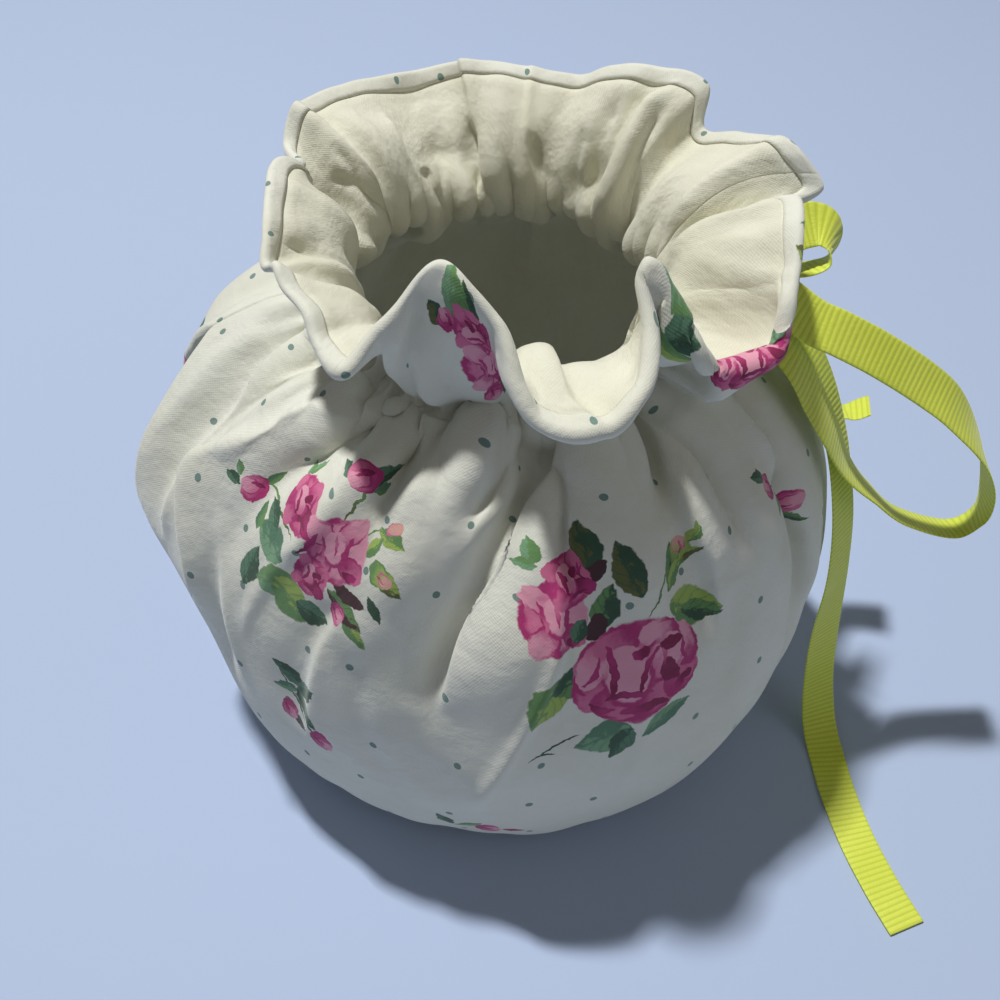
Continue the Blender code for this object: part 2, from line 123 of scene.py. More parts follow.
# Folds along a line from its top (deg, run) to its foot (deg, run), then half the fold's width in mm and its depth,
# which is towards the printed side (+) or the lining side (-). ENDS says, in lengths of the line below its top,
# where a fold has gone and over how much it fades, and then how far above its top it starts.
FOLD_ENDS = (1.25, 0.6, 0.3)
NECK_FADE = 8.0         # the folds are gone at the neck, over this run
FOLDS = [
    # front panel, from the spout side to the handle side
    (191, 152, 197, 96, 6.5, -3.5),
    (206, 156, 197, 114, 4.5, -3.5),
    (214, 154, 198, 112, 5, 3),
    (203, 112, 208, 76, 7, 2),
    (237, 160, 219, 122, 5.5, -4),
    (246, 158, 229, 116, 5, 2.5),
    (252, 161, 246, 142, 5.5, -4),
    (263, 158, 248, 102, 6, 3),
    (273, 158, 264, 134, 3.5, -3.5),
    (284, 161, 258, 92, 5, -6),
    (288, 156, 281, 124, 3.5, -3),
    (298, 158, 294, 104, 6.5, 3),
    (311, 160, 303, 130, 4, -4.5),
    (314, 156, 316, 114, 4.5, -3.5),
    (323, 156, 325, 100, 6, 2.5),
    (334, 156, 333, 70, 3.8, -6),
    (274, 104, 266, 62, 7, 2.5),
    # back panel, from the handle side to the spout side
    (20, 156, 27, 92, 5, -4.5),
    (34, 158, 38, 100, 6, 3),
    (47, 160, 45, 112, 5, -4),
    (71, 158, 79, 98, 6, -5),
    (84, 156, 92, 90, 7, 3),
    (97, 160, 92, 120, 4.5, -3.5),
    (118, 158, 125, 88, 6, -4.5),
    (131, 156, 134, 96, 6, 3),
    (144, 160, 139, 108, 5, -4),
    (165, 154, 168, 112, 5, -4),
]

# The rim, one row after another round it: the angle at the neck, the angle, radius and height of the rim's point,
# and how far the frill swells out on its way there.
RIM = [
    (-5.5, -2, 60, 158.5, 11),  # front-right lobe, upper corner
    (0, 1.5, 56, 154.5, 8),  # dip between the lobes
    (5.5, 5.5, 66.5, 155.5, 11.5),  # back-right lobe, tip
    (11, 10, 62, 162, 12),
    (21, 21, 54, 162, 11),
    (28, 30, 50, 159, 6),  # notch
    (35, 34, 53, 167, 9),  # back crest
    (47, 47, 49, 168, 9),
    (58, 59, 48, 165, 8),
    (68, 70, 48, 161, 7),  # shallow dip
    (88, 91, 49, 161, 8),
    (101, 102, 50, 162, 6),  # crease
    (108, 109, 53, 160, 8),
    (130, 131, 54, 161, 9),
    (146, 146, 55, 161, 9),  # back-left corner
    (155, 153, 53, 156, 5),
    (163, 162, 44, 158, -4),  # deep valley
    (172, 174, 47, 163, 9),  # left lobe
    (184, 190, 47, 164, 11),
    (196, 203, 49, 163, 11),
    (205, 211, 51, 160, 8),  # left corner
    (216, 225, 51, 159, 9),
    (232, 238, 56, 154, 11),  # low valley before the peak
    (240.5, 243, 47.5, 160.5, 1),
    (253, 255, 40, 173, -6),  # peak, standing up
    (264, 269, 46, 165, 2),
    (271, 273, 54, 156, 8),
    (277, 276, 58, 151, 13),  # front lobe
    (283, 282, 61, 149, 14),
    (289, 289, 61, 150, 12),
    (294, 295, 58, 154, 7),
    (299.5, 301, 49.5, 160, 3),
    (304.5, 303.5, 42, 167.5, -2),  # second peak
    (309.5, 309.5, 42.5, 168.5, -3),
    (314.5, 311.5, 52.5, 159.5, 5),
    (320, 316, 57, 155, 11),  # front-right lobe
    (333, 332, 63, 151, 12),
    (344, 343, 60, 156, 12),
]

# Each row: a point of the ribbon's middle line (x, y, z), then the direction across the ribbon.
FRONT_LOOP = [
    (53.4, -3.8, 140.2, 0.1, 0.75, 0.58),
    (60, -6.5, 137, 0.25, 0.72, 0.58),
    (66, -8, 133, 0.42, 0.69, 0.58),
    (72, -9, 130.5, 0.45, 0.67, 0.58),
    (81.5, -10, 125.5, 0.45, 0.67, 0.58),
    (93, -11, 118, 0.45, 0.67, 0.5),
    (101.5, -12, 111, 0.4, 0.75, 0.3),
    (111, -13, 99, 0.25, 0.8, -0.2),
    (116, -14, 87.5, 0.1, 0.75, -0.55),
    (116.5, -15, 78, 0.05, 0.8, -0.55),
    (110.5, -16, 74, 0, 0.92, -0.38),
    (97, -16, 79, 0, 0.93, -0.36),
    (87.5, -16, 88, 0.15, 0.9, -0.36),
    (79.5, -17, 98, 0.35, 0.85, -0.3),
    (73, -17.5, 109.5, 0.5, 0.8, -0.2),
    (67.5, -16, 118.5, 0.55, 0.8, -0.1),
    (61.5, -13.5, 127.5, 0.45, 0.88, 0),
    (52.4, -7.4, 136.2, 0.7, 0.7, 0),
]
FRONT_TAIL = [
    (53.4, -1, 134, 0.2, 0.95, 0.05),
    (60, -3, 130, 0.4, 0.85, 0.05),
    (66.5, -5, 123.5, 0.55, 0.8, 0),
    (72, -7.5, 114, 0.6, 0.8, 0),
    (76.5, -10.5, 103, 0.6, 0.8, 0),
    (79.5, -14, 93, 0.6, 0.8, 0),
    (82.5, -18, 79, 0.65, 0.75, 0),
    (84.5, -21, 62, 0.7, 0.7, 0),
    (86.5, -22, 38, 0.85, 0.5, 0),
    (88.5, -25, 18, 0.9, 0.4, 0),
    (90.5, -30, 5, 0.95, 0.25, 0),
    (91.8, -37, 0.5, 0.97, 0.2, 0),
    (92.8, -50, 0.5, 0.97, 0.2, 0),
    (95.2, -64, 0.5, 0.96, 0.28, 0),
    (99, -77, 0.5, 0.93, 0.35, 0),
    (103.2, -88, 0.5, 0.93, 0.35, 0),
]
BACK_LOOP = [
    (53, 4.8, 140.4, -0.3, 0.6, 0.7),
    (60.5, 10, 142.5, 0.12, 0.72, 0.6),
    (67.5, 13.5, 142.5, 0.32, 0.74, 0.45),
    (71.5, 13.5, 141, 0.42, 0.76, 0.22),
    (73, 12.5, 137.8, 0.42, 0.78, -0.02),
    (71.5, 11, 134.6, 0.34, 0.84, -0.2),
    (66.5, 9.8, 133.3, 0.16, 0.9, -0.32),
    (60, 9.5, 134, -0.05, 0.95, -0.26),
    (52.6, 7.2, 137.6, -0.4, 0.85, -0.1),
]
BACK_TAIL = [
    (49.9, 7.9, 133.9, -0.75, 0.65, -0.1),
    (58.5, 13.5, 128, 0.1, 0.95, -0.2),
    (67.5, 17.5, 117, 0, 1, -0.1),
    (75, 20, 103, -0.05, 0.98, -0.2),
    (80.5, 21.5, 89, -0.1, 0.95, -0.3),
    (86, 21, 79.5, -0.15, 0.9, -0.36),
    (91.5, 20.5, 78.2, -0.2, 0.85, -0.39),
    (97, 20, 81, -0.2, 0.85, -0.39),
]
RIBBONS = {
    "front_loop": FRONT_LOOP,
    "front_tail": FRONT_TAIL,
    "back_loop": BACK_LOOP,
    "back_tail": BACK_TAIL,
}

# Creases of the frill, which both layers share, in the columns of FOLDS.
FRILL_FOLD_ENDS = (1.2, 0.45, 0.35)
FRILL_SPREAD = 0.5      # how much the frill's radius grows over its run
FRILL_FOLDS = [
    # back wall, from the right to the left
    (46.5, 198, 53, 170, 3.4, 2.2),
    (54, 193, 56, 171, 2.4, 2.6),
    (60, 186, 61, 168, 2, 1.4),
    (66, 205, 69, 182, 4.5, 1),
    (86, 199, 88, 172, 5, -1.5),
    (113, 199, 110, 176, 8, 3.6),
    (119, 176, 117, 168, 1.6, 1.6),
    (136, 193, 131, 168, 4, -1.6),
    (151, 186, 145, 174, 1.5, 1.3),
    # left lobe
    (178, 200, 172, 172, 3.5, -1.4),
    (190, 192, 186, 170, 4.5, 2.2),
    (206, 206, 214, 188, 2.4, -1.8),
    (222, 200, 226, 176, 3, 1.4),
    # front lobes
    (243, 200, 238, 178, 3, 1.6),
    (258, 200, 261, 176, 3, 1.2),
    (281, 194, 282, 174, 2.5, -1.2),
    (292, 202, 293, 178, 2.4, -1.2),
    (323, 190, 330, 172, 4, 1.4),
    (333, 190, 341, 172, 4, -1.2),
    (345, 190, 343, 172, 4, 1.8),
    # right lobe
    (14, 200, 11, 178, 3.4, -1.2),
    (356, 199, 352, 176, 3, -1.4),
]

# Tucks, where the cloth steps over itself along a line. Each row: the step in mm, towards the printed side for
# the side at higher degrees; how softly the lower and the higher side turn, and how far each is felt, in mm; then
# the line from top to bottom, as run and degrees.
TUCKS = [
    # front of the body
    (3.2, 2.2, 0.9, 9, 8, ((164, 189.5), (153, 191), (141, 192.5), (128, 195), (115, 194.5), (104, 195.2),
                               (88, 195.5))),
    (4.4, 2.4, 0.9, 9, 12, ((160, 221), (146, 216), (135, 211.5), (126, 206.5), (115, 200.5), (105, 203),
                                (98, 206), (82, 208.5))),
    (2.4, 2, 0.9, 6, 8, ((166, 240), (160, 232), (151, 223.5), (144, 217))),
    (2.7, 2, 0.9, 6, 9, ((166, 251), (156, 245), (143, 240), (133, 236.5), (124, 233.5),
                               (113, 230))),
    (2.5, 1.8, 0.9, 5, 9, ((167, 259), (153, 255.5), (144, 252.5), (136, 250), (129, 248.5))),
    (1.4, 1.5, 0.9, 5, 5, ((160, 268), (146, 270.5), (137, 266), (127, 262))),
    (4.8, 3, 0.9, 9, 11, ((158, 289), (152, 287), (135, 275), (121, 266.5), (103, 263), (90, 260))),
    (2.6, 1.8, 0.8, 5, 9, ((156, 290), (139, 286.5), (126, 283), (114, 280))),
    (4, 2.4, 0.9, 8, 11, ((158, 312.5), (145, 311), (129, 305), (121, 304.8), (112, 306.5), (98, 307))),
    (3.5, 1.6, 0.9, 7, 10, ((157, 322.5), (141, 324.5), (131, 325.5), (119, 329), (110, 333), (101, 336.5),
                               (74, 337))),
    (1.9, 2.2, 1.1, 8, 9, ((108, 243), (97, 239), (85, 237), (68, 235.5))),
    (1.8, 2, 0.9, 6, 6, ((160, 343), (146, 346), (132, 350), (114, 352))),
    (1.5, 1.4, 0.8, 4, 5, ((166, 277), (156, 279), (146, 280))),
    (-1.3, 1.4, 0.8, 4, 4, ((166, 300), (154, 300.5), (141, 299))),
    (1.3, 1.4, 0.8, 4, 4, ((166, 231), (156, 228), (147, 224))),
    (1.5, 1.5, 0.8, 4, 4, ((165, 207), (150, 202), (137, 198))),
    (1.3, 1.4, 0.9, 4, 5, ((166, 334), (154, 336), (138, 339))),
    # back of the body
    (2.5, 2.2, 0.9, 8, 9, ((162, 21.5), (140, 24), (120, 26.5), (98, 29))),
    (-2.2, 2, 0.9, 7, 9, ((164, 43.5), (146, 46), (130, 45), (110, 43))),
    (1.5, 1.8, 0.9, 5, 6, ((165, 57.5), (150, 60), (134, 62))),
    (-2.9, 2.8, 0.9, 8, 10, ((164, 73), (140, 77), (118, 80), (94, 82))),
    (2, 2, 0.9, 7, 8, ((162, 93.5), (140, 91), (120, 88))),
    (-1.5, 1.8, 0.9, 5, 6, ((165, 105.5), (150, 107), (136, 110))),
    (2.7, 2.4, 0.9, 8, 9, ((162, 120.5), (138, 124), (116, 127), (88, 129))),
    (-2.2, 2.2, 0.9, 7, 8, ((164, 141.5), (142, 139), (118, 136))),
    (1.7, 1.8, 0.9, 6, 7, ((160, 159.5), (138, 163), (116, 165))),
    # frill, from the right of the back to the left, then the front
    (2.8, 0.9, 3, 4, 7, ((201, 42), (191, 44), (185, 43.5), (176, 45.5), (166, 49))),
    (1.2, 0.9, 2.4, 5, 6, ((206, 80), (197, 81), (186, 81.5), (178, 79))),
    (2.3, 0.8, 2.8, 6, 9, ((208, 101.5), (200, 100.5), (187, 100.3), (179, 97.8), (170, 95))),
    (-2.3, 2.4, 0.9, 5, 6, ((194, 124.5), (185, 125), (179, 123), (171, 122), (163, 121.5))),
    (-2.9, 2.6, 0.9, 6, 5, ((206, 144.5), (190, 144), (183, 141.5), (176, 138.5), (165, 137))),
    (-3, 3, 0.9, 6, 6, ((206, 166), (190, 162), (180, 157), (171, 152), (161, 148))),
    (2.3, 0.9, 1.6, 5, 5, ((204, 288), (199, 285), (190, 284), (180, 283.5), (172, 283))),
    (2.6, 1.4, 2.6, 6, 6, ((206, 15), (192, 13), (184, 12), (174, 11))),
    (-1.6, 1.6, 0.9, 5, 5, ((206, 205), (200, 202), (190, 199), (178, 197))),
    (1.4, 1, 1.8, 5, 5, ((204, 344), (194, 346), (182, 349))),
]
TUCK_CREST = 0.62           # the high side stands less proud than the low side lies deep
TUCK_FADES = (7.0, 14.0)    # how softly a tuck starts and ends, in mm of run
LINE_OFFSETS = (-3.0, -1.0, 1.0, 3.0)   # a line's corners are rounded by averaging it over these runs

# Ridges and dimples along a line: height towards the printed side, half width, then the line as above.
RIDGES = [
    (1.5, 1.7, ((121, 280), (104, 277.5), (92, 274), (72, 267.5), (62, 265.5))),
    (1, 2.5, ((143, 184.5), (131, 184.5), (117, 187), (104, 187.5))),
    (1.4, 3.5, ((148, 318.5), (136, 320), (121, 320.5), (105, 322), (88, 325))),
    (0.9, 2.6, ((110, 214), (98, 217), (82, 219.5), (70, 221))),
    (-1.5, 4.5, ((138, 226), (122, 221), (104, 216), (84, 214), (68, 215))),
    (-1.3, 4, ((112, 310), (94, 311), (74, 310))),
    (0.8, 2.2, ((121, 232.5), (110, 229), (98, 225), (86, 222))),
    (-0.9, 3, ((98, 246), (84, 247), (66, 250))),
    (0.9, 3, ((96, 291), (80, 292.5), (60, 291))),
    (2.2, 1.7, ((189, 99.6), (183, 98.8), (176, 97))),
    (1.9, 1.9, ((187, 77.5), (180, 75), (173, 72.8))),
    (1.7, 1.3, ((196, 38.5), (190, 37.6), (184, 37.6))),
    (-1.8, 1.7, ((200, 40.8), (190, 40.6), (178, 41), (170, 42.5))),
    (1.3, 1.1, ((175, 113), (170, 114.5), (166, 117))),
    (1.3, 1.1, ((176, 98), (169, 100), (165, 101))),
    (1.2, 1, ((192, 148), (184, 147.8), (178, 147))),
    (1.2, 3.2, ((199, 352), (193, 352), (186, 350))),
    (1.6, 2.4, ((200, 196), (194, 197), (186, 196))),
]

# Where the drawstring pulls the neck in: how deep at each angle, and where it lies.
PINCHES = [(0, 1), (60, 0.8), (150, 0.8), (200, 1.2), (225, 2.2), (252, 2.2), (262, 1.6), (278, 1.2),
           (300, 1.8), (330, 1.4)]
PINCH_UP = 4.0
PINCH_RUN = 4.6
PINCH_PUFF = 0.12       # how far the cloth puffs out below the pinch, for each mm of its depth
PUFF_DOWN = 7.0
PUFF_RUN = 6.0

# The rim turns up towards the lining: by how many degrees, and over how much of its run, at each angle. The frill
# gives way below it, over CURL_BLEND, so that the rim stays in its place. Where the curl is longer than CURL_SHORT
# the frill gives way before it starts, over FIRM_BLEND more, and FIRM_GIVE of the rim's move is left in.
CURL_BLEND = 36.0
CURL_SHORT = 11.0
FIRM_BLEND = 4.0
FIRM_GIVE = 0.35
CURL_STEPS = 12
CURLS = [
    (0, 20), (12, 35), (24, 25), (40, 12), (100, 12), (140, 20), (163, 10),
    (185, 35), (200, 40), (215, 20), (232, 12), (253, -10), (270, 25), (284, 48),
    (296, 35), (306, 24), (314, 52), (323, 112), (333, 112), (342, 75), (350, 40),
]
CURL_RUNS = [(20, 11), (270, 11), (300, 12), (308, 12), (323, 22), (333, 22), (349, 12)]

# The rim hangs lower than the smooth shape, by this much at each angle, and stands out by a share of it.
DROOPS = [(0, 0), (306, 0), (314, 4), (322, 11), (332, 11), (341, 4.5), (350, 0)]
DROOP_FROM, DROOP_SPAN = 42.0, 24.0     # mm under the rim where it starts, and over how much it grows
DROOP_OUT = 0.3

# The frill's cloth is thinner than the body's, by FRILL_THIN on each face, and its rim is fuller by this much at
# each angle. Each change lies so far from the neck or from the rim, and takes so much of the run.
FRILL_THIN, THIN_FROM, THIN_SPAN = 0.85, 4.0, 14.0
PUFF_FROM, PUFF_SPAN = 11.0, 8.0
PUFF_WAVES = 27
PUFF_SIDEWAYS = 0.6     # the share of the puff that the rounded edge gains
PUFFS = [
    (0, 0.5), (20, 0.4), (40, 0.2), (70, 0.1), (140, 0.15), (165, 0.5), (190, 0.3), (210, 0.3),
    (235, 0.9), (250, 0.4), (262, 0.35), (276, 1.1), (292, 1.2), (304, 0.6), (318, 1),
    (338, 0.9), (350, 0.5),
]

# Fine gathers where the drawstring pulls the neck in, and longer pleats. A pleat's foot lies so far below the
# neck, and unevenly so; it grows from below its foot over a span, and fades below the rim over another.
GATHERS = 47
GATHER_DEPTH = 1.15
GATHER_UP = 8.0
GATHER_DOWN = 13.0
PLEATS = 23
PLEAT_DEPTH = 1.1
PLEAT_FOOT, PLEAT_UNEVEN = 22.0, 10.0
PLEAT_GROW, PLEAT_SPAN = 26.0, 40.0
PLEAT_STOP, PLEAT_FADE = 4.0, 34.0

# The pull of the hem's stitching: puckers, and the line of the stitches.
HEM_PUCKERS = 25
HEM_DEPTH, HEM_PUFF_AT, HEM_PUFF_SPAN = 0.85, 13.0, 9.0
STITCH_DEPTH, STITCH_AT, STITCH_HALF = 0.5, 15.5, 0.9

# Slow unevenness of soft cloth: its height, in a coarse and a fine pattern, and the run that the hem keeps flat.
RUMPLE_DEPTH, RUMPLE_FINE = 0.45, 0.22
RUMPLE_FROM = 10.0

# The print turns over the rim and ends in a seam on the lining side.
RIM_BAND = 1.8
SEAM_GROOVE = 0.6
SEAM_LIP = 0.35         # the share of the groove at its edges
ROLL_STEPS = 8
SIDE_STEPS = 4
SEAM_SHARE = 0.45       # how far the side seams are rounded, beside the edges of the holes
OPEN_DEG = 2.0          # a hole that is this wide has its edges rounded in full

# Ribbon, in mm.
RIBBON_WIDE = 10.0
RIBBON_THICK = 0.5
RIBBON_SECTION = (-5.0, -4.75, -4.4, -3.6, -2.0, 0.0, 2.0, 3.6, 4.4, 4.75, 5.0)
RIBBON_CUP = 0.12       # how far the edges lift off the middle
RIBBON_TIP = 0.35       # the share of the thickness at the very edge
SELVEDGE, SELVEDGE_FADE = 0.3, 0.5      # the plain edge beside the ribs
RIB_PITCH = 1.45
RIB_HEIGHT = 0.13
RIB_STEP = 0.36
KNOT_AT = (46.8, 0.5, 137.4)
KNOT_SIZE = (16.0, 15.0, 11.0)
KNOT_WAIST = 0.22
KNOT_WAIST_SPAN = 0.35
KNOT_PLEATS = 9
KNOT_PLEAT = 0.07
KNOT_ROUND = 180
KNOT_ROWS = 40
KNOT_RIBS = 27
KNOT_LEAN = 0.05
KNOT_TOP = 0.8          # the band has ribs where it stands higher than this
# The band's section: along the knot's axis, and up from the waist.
KNOT_BAND = ((-3.2, -0.3), (-3.4, 0.4), (-3.1, 0.8), (-2.6, 0.9), (2.6, 0.9), (3.1, 0.8), (3.4, 0.4), (3.2, -0.3))

# Print, laid flat. Sizes in mm, linear colours. The back panel is cut from the same cloth, further along.
BACK_SHIFT = 169.0 * MM_PER_DEG
DOT_APART = 18.5
DOT_RADIUS = 0.92
HAND = 1.9              # how unevenly the shapes are drawn
HAND_SCALE = 0.5
RIM_CLUSTERS = ("peak", "lobe")     # on the front's rim only
CELL = 15.0             # the size of the parts that a cluster is shared out in
TRACE = 0.001
PRINT_WEAVE = 0.62
LINING_WEAVE = 0.7

INK = {
    "print light": (0.80, 0.80, 0.70), "print deep": (0.755, 0.752, 0.635),
    "lining light": (0.785, 0.775, 0.635), "lining deep": (0.74, 0.725, 0.57),
    "ribbon light": (0.80, 0.87, 0.12), "ribbon": (0.74, 0.82, 0.09), "ribbon deep": (0.50, 0.58, 0.035),
    "dot": (0.19, 0.29, 0.25),
    "blush": (0.82, 0.36, 0.47), "pink": (0.68, 0.16, 0.31), "magenta": (0.46, 0.028, 0.17),
    "wine": (0.24, 0.005, 0.07), "peach": (0.80, 0.42, 0.36),
    "green": (0.14, 0.29, 0.10), "lime": (0.376, 0.515, 0.112), "forest": (0.036, 0.095, 0.052),
    "olive": (0.127, 0.141, 0.045), "maroon": (0.07, 0.026, 0.032), "teal": (0.095, 0.22, 0.13),
    "mint": (0.20, 0.38, 0.21),
}
LINES = {"blush": "magenta", "pink": "magenta", "peach": "pink"}

# A rose in its own box from -1 to 1: its petals in painting order, as x, y, long, wide, turn, bend, light, dark.
# long and wide are in half boxes.
ROSES = {
    "full rose": [
        (0, 0, 1.84, 1.8, 0, 0, "pink", "pink"),
        (-0.63, -0.26, 0.84, 0.62, 290, 0, "pink", "magenta"),
        (-0.3, -0.62, 0.84, 0.56, 335, 0, "pink", "magenta"),
        (0.28, -0.62, 0.84, 0.56, 22, 0, "pink", "magenta"),
        (0.63, -0.27, 0.84, 0.58, 64, 0, "pink", "magenta"),
        (-0.64, 0.26, 0.84, 0.6, 248, 0, "blush", "pink"),
        (0.64, 0.27, 0.84, 0.58, 116, 0, "blush", "magenta"),
        (-0.3, 0.64, 0.84, 0.54, 204, 0, "pink", "magenta"),
        (0.3, 0.65, 0.8, 0.52, 158, 0, "blush", "magenta"),
        (0.34, 0.16, 0.84, 0.8, 35, 0, "blush", "pink"),
        (-0.14, -0.06, 1.1, 0.86, 100, 0, "blush", "blush"),
        (0.44, 0.46, 0.46, 0.22, -8, 0.3, "wine", "wine"),
        (0.48, -0.1, 0.52, 0.3, -58, 0.4, "wine", "wine"),
        (0.02, 0.4, 0.28, 0.2, 20, 0.2, "wine", "magenta"),
        (-0.4, 0.04, 0.95, 0.15, 98, 1.3, "magenta", "wine"),
        (0.16, 0.02, 0.8, 0.1, 70, -1.5, "magenta", "wine"),
        (-0.66, 0.12, 0.52, 0.11, 60, 1.8, "magenta", "magenta"),
        (-0.78, -0.1, 0.44, 0.09, 120, -1.8, "magenta", "magenta"),
        (0.7, 0.16, 0.48, 0.09, 105, -1.6, "magenta", "magenta"),
        (0.32, 0.2, 0.34, 0.07, 95, 1.4, "pink", "magenta"),
        (-0.1, -0.5, 0.8, 0.12, 4, -1.2, "magenta", "wine"),
        (-0.45, -0.62, 0.5, 0.11, -20, 1.4, "magenta", "wine"),
        (0.14, -0.82, 0.86, 0.18, 2, -0.8, "wine", "magenta"),
        (0.68, -0.5, 0.46, 0.16, 52, -0.9, "wine", "magenta"),
    ],
    "small rose": [
        (0, 0, 1.8, 1.74, 0, 0, "pink", "magenta"),
        (-0.38, 0.44, 0.9, 0.66, 145, 0, "pink", "magenta"),
        (0.44, 0.42, 0.9, 0.66, 35, 0, "pink", "magenta"),
        (0.46, -0.4, 0.9, 0.66, -35, 0, "magenta", "wine"),
        (-0.42, -0.42, 0.9, 0.66, 220, 0, "pink", "magenta"),
        (-0.05, 0.02, 1, 0.74, 100, 0, "blush", "pink"),
        (0.26, 0.22, 0.46, 0.26, 30, 0.4, "wine", "wine"),
        (-0.25, -0.02, 0.8, 0.15, 96, 1.4, "magenta", "wine"),
        (0.6, 0.1, 0.6, 0.12, 80, -1.4, "magenta", "wine"),
        (0.06, -0.58, 0.8, 0.18, 5, -1, "wine", "magenta"),
    ],
    "pale rose": [
        (0, 0, 1.84, 1.8, 0, 0, "blush", "pink"),
        (-0.42, 0.42, 0.9, 0.7, 145, 0, "blush", "pink"),
        (0.42, 0.46, 0.9, 0.66, 42, 0, "blush", "pink"),
        (0.48, -0.46, 0.9, 0.62, -38, 0, "pink", "magenta"),
        (-0.42, -0.46, 0.9, 0.62, 222, 0, "blush", "magenta"),
        (-0.02, 0.02, 1, 0.78, 95, 0, "blush", "blush"),
        (0.42, -0.05, 0.8, 0.16, 80, -1.4, "magenta", "magenta"),
        (0.02, 0.1, 0.6, 0.09, 85, 1.2, "pink", "magenta"),
        (-0.4, 0, 0.85, 0.11, 98, 1.3, "magenta", "pink"),
        (0.46, -0.58, 0.44, 0.24, -20, 0.4, "magenta", "wine"),
    ],
    "bud": [
        (0, 0, 1.8, 1.7, 0, 0, "pink", "magenta"),
        (0.2, 0.1, 1.3, 0.95, 10, 0, "blush", "pink"),
        (-0.05, -0.2, 1, 0.22, 12, 0.9, "magenta", "wine"),
    ],
    "peach bud": [
        (0, 0, 1.8, 1.6, 0, 0, "lime", "green"),
        (0.35, 0.05, 1.05, 0.95, 0, 0, "peach", "lime"),
        (0.2, -0.1, 0.8, 0.16, 8, 0.9, "pink", "olive"),
    ],
}

